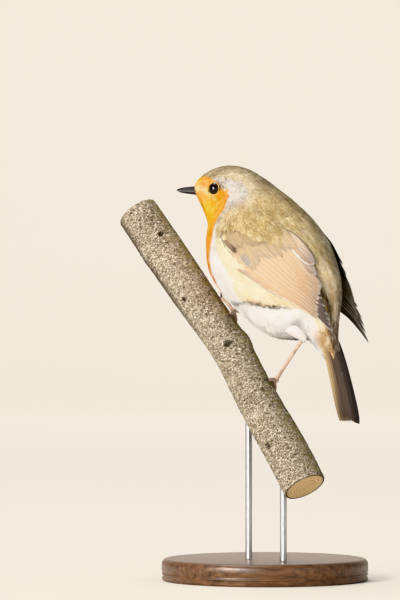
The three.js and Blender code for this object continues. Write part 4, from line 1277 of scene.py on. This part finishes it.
faces_out = (root_out[:, None] * (1 - x[:, None]) + tip_out[:, None] * x[:, None]
             - root_over[:, None] * 0.5 * y[:, None] + tilt[:, None])

# each corner is painted for a place half way between its tuft's middle and its own
wobble = luck.normal(0, 1, (2, count, 1))
half_way = rib[:, None] + 0.5 * ahead + (0.28 * length / per_rib)[:, None] + 0.05 * wobble[0]
beside_it = angle[:, None] + 0.5 * beside + 0.025 * wobble[1]
paint = markings(half_way.ravel(), beside_it.ravel()).reshape(count, len(TUFT), 3)
# locks, tufts and strands differ in depth of colour, the coloured ones more than the white
shared = np.interp(rib, [0, 5, 8, 11, 14], [0.22, 0.16, 0.07, 0.1, 0.16])
depths = shared * luck.standard_normal(count)[lock] + 0.12 * luck.standard_normal(count)
depths = depths[:, None] + 0.24 * luck.standard_normal((count, STRANDS))
streaky = np.interp(rib, [6, 8, 10, 11.5, 14, 15], [1, 0.8, 1, 1.4, 1.4, 1.1])
streaky = streaky * (1 + 0.5 * eased(-np.degrees(angle), -15, 20) * eased(rib, 8, 10))
depths = np.clip(depths * streaky[:, None], -0.6, 1.1)[:, STRAND_OF]
tone = np.interp(x, [0, 0.45, 1], [0.5, 0.92, 1.05])  # darker towards the root
root_tone = tone[:, None] + 0.5 * (1 - tone[:, None]) * paint.min(axis=2, keepdims=True)
paint = np.clip(paint * root_tone * (1 - 0.1 * depths)[:, :, None], 0.003, 0.98)
paint = paint ** (1 + depths[:, :, None])
patch = 0.003 * np.stack([y + 0.5, x], 1)
root_spot = np.stack([0.5 + angle / (2 * np.pi), 0.8 * rib / TAIL_END], 1)
bake = root_spot[:, None, :] * 0.994 + patch

# the thighs wear the belly's white, lying down towards the ankle
THIGH_TUFTS, THIGH_LENGTH, THIGH_WIDTH = 1100, 4.4, 0.2  # the width as a share of the length
groups = [(places, paint, bake, faces_out)]
i = np.arange(THIGH_TUFTS)
share = 0.02 + 0.88 * ((i * 0.7548776662) % 1)
around = 2 * np.pi * ((i * 0.5698402910) % 1)
for k, leg in enumerate(LEGS.values()):
    long = THIGH_LENGTH * luck.uniform(0.8, 1.2, THIGH_TUFTS)
    span = float(np.linalg.norm(leg["ankle"] - leg["knee"]))
    girth = np.maximum(thigh_girth(leg, share), 1.2)
    s = share[:, None] + long[:, None] * x / span
    a = around[:, None] - long[:, None] * THIGH_WIDTH * y / girth[:, None]
    a = a + luck.normal(0, 0.15, THIGH_TUFTS)[:, None] * x
    loose = luck.uniform(-0.2, 0.5, THIGH_TUFTS)[:, None]
    g = -0.9 + (1.0 + loose) * np.clip(x, 0, 1) ** 0.75 + long[:, None] * THIGH_WIDTH * z
    spot = on_thigh(leg, np.clip(s, 0, 1).ravel(), a.ravel(), g.ravel())
    spot = spot.reshape(THIGH_TUFTS, -1, 3)
    way = (leg["ankle"] - leg["knee"]) / span
    spot = spot + np.clip(s - 1, 0, 1)[:, :, None] * span * way
    inner = on_thigh(leg, share, around, share * 0 - 1)
    out = np.repeat((on_thigh(leg, share, around, share * 0) - inner)[:, None], len(x), 1)
    shade = np.array(SNOW[:3]) * (0.9 + 0.08 * luck.standard_normal(THIGH_TUFTS))[:, None]
    own = tone * (1 + 0.15 * luck.standard_normal((THIGH_TUFTS, STRANDS))[:, STRAND_OF])
    shade = np.clip(shade[:, None, :] * own[:, :, None], 0.01, 0.95)
    corner = np.stack([0.05 + 0.4 * k + 0.35 * around / (2 * np.pi), 0.83 + 0.15 * share], 1)
    groups.append((in_room(spot), shade, corner[:, None, :] + patch,
                   in_room(out) - in_room(np.zeros(3))))

# the coat is cut in pieces from the bill to the tail, the thighs last
SLOTS = ("plumage_orange", "plumage_olive", "plumage_olive", "plumage_white", "plumage_buff",
         "plumage_white")
MOST_FACES = 190000  # in one piece
coat_finish = plumage_finish("robin plumage")
places, paint, bake, faces_out = (np.concatenate([g[k] for g in groups]) for k in range(4))
faces_out = unit(faces_out)
order = np.argsort(np.concatenate([rib, np.full(len(places) - count, 18.0)]), kind="stable")
each = MOST_FACES // TUFT_FACES
for k, begin in enumerate(range(0, len(order), each)):
    some = order[begin:begin + each]
    mesh = stamped("plumage_%d" % k, TUFT_FORM, places[some], {"plumage": paint[some]},
                   {"OFBake": bake[some]}, faces_out[some])
    fixed(mesh.name, mesh, coat_finish, SLOTS[min(k, len(SLOTS) - 1)])

# ---------------------------------------------------------------- the room
# A plain pale sweep and five soft lamps: a warm key to the front left, a low one under it, a
# weak cool fill to the right, one above, and one that lights the sweep behind.
SWEEP_DEEP, SWEEP_NEAR, SWEEP_HALF_WIDE, SWEEP_RISE = 14.0, -4.5, 5.0, 12.0  # metres
BEND_FROM, BEND_TO = 0.55, 0.7  # as shares of the sheet's run
sweep = bmesh.new()
bmesh.ops.create_grid(sweep, x_segments=2, y_segments=60, size=1)
for v in sweep.verts:
    run = (v.co.y + 1) / 2
    bend = min(max((run - BEND_FROM) / (BEND_TO - BEND_FROM), 0), 1) * math.pi / 2
    flat = min(run, BEND_FROM) * SWEEP_DEEP + SWEEP_NEAR
    v.co = (v.co.x * SWEEP_HALF_WIDE, flat + math.sin(bend),
            1 - math.cos(bend) + max(run - BEND_TO, 0) * SWEEP_RISE)
floor_mesh = meshed(sweep, "sweep")
floor = placed("sweep", floor_mesh)
floor_mesh.shade_smooth()
pale, tree, shader = finish("pale paper", Roughness=0.95, Specular_IOR_Level=0.1)
wire(tree, shader, Base_Color=graded(tree, cloudy(tree, 1.5), (0.3, tint(214, 208, 200)),
                                     (0.7, tint(218, 212, 204))))
floor_mesh.materials.append(pale)

TO_BIRD, TO_SWEEP = (0, 0, 0.12), (0, 4.0, 0.3)
for name, spot, aim, size, power, colour in (
        ("key", (-1.5, -1.7, 0.95), TO_BIRD, 0.7, 70, (1.0, 0.94, 0.85)),
        ("low", (-0.8, -1.3, 0.1), TO_BIRD, 0.9, 28, (1.0, 0.99, 0.97)),
        ("fill", (1.5, -1.6, 0.5), TO_BIRD, 1.6, 8, (0.86, 0.92, 1.0)),
        ("top", (-0.2, 0.4, 1.8), TO_BIRD, 0.9, 24, (1.0, 0.97, 0.92)),
        ("backdrop", (0.0, 2.4, 2.2), TO_SWEEP, 2.0, 60, (1.0, 0.97, 0.93))):
    lamp = bpy.data.lights.new(name, "AREA")
    lamp.energy, lamp.size, lamp.color = power, size, colour
    held = placed(name, lamp)
    held.location = spot
    held.rotation_euler = (Vector(aim) - Vector(spot)).to_track_quat("-Z", "Y").to_euler()
world = bpy.data.worlds.new("pale room")
world.use_nodes = True
world.node_tree.nodes["Background"].inputs[0].default_value = (0.82, 0.84, 0.88, 1)
world.node_tree.nodes["Background"].inputs[1].default_value = 0.55
bpy.context.scene.world = world

lens = bpy.data.cameras.new("camera")
lens.lens, lens.sensor_width, lens.sensor_fit = 237.6, 36.0, "AUTO"
lens.clip_start = 0.05
camera = placed("camera", lens)
camera.location = (-0.0295, -1.8, 0.1273)
camera.rotation_euler = (math.pi / 2, 0, 0)
bpy.context.scene.camera = camera
bpy.context.scene.view_settings.view_transform = "Khronos PBR Neutral"
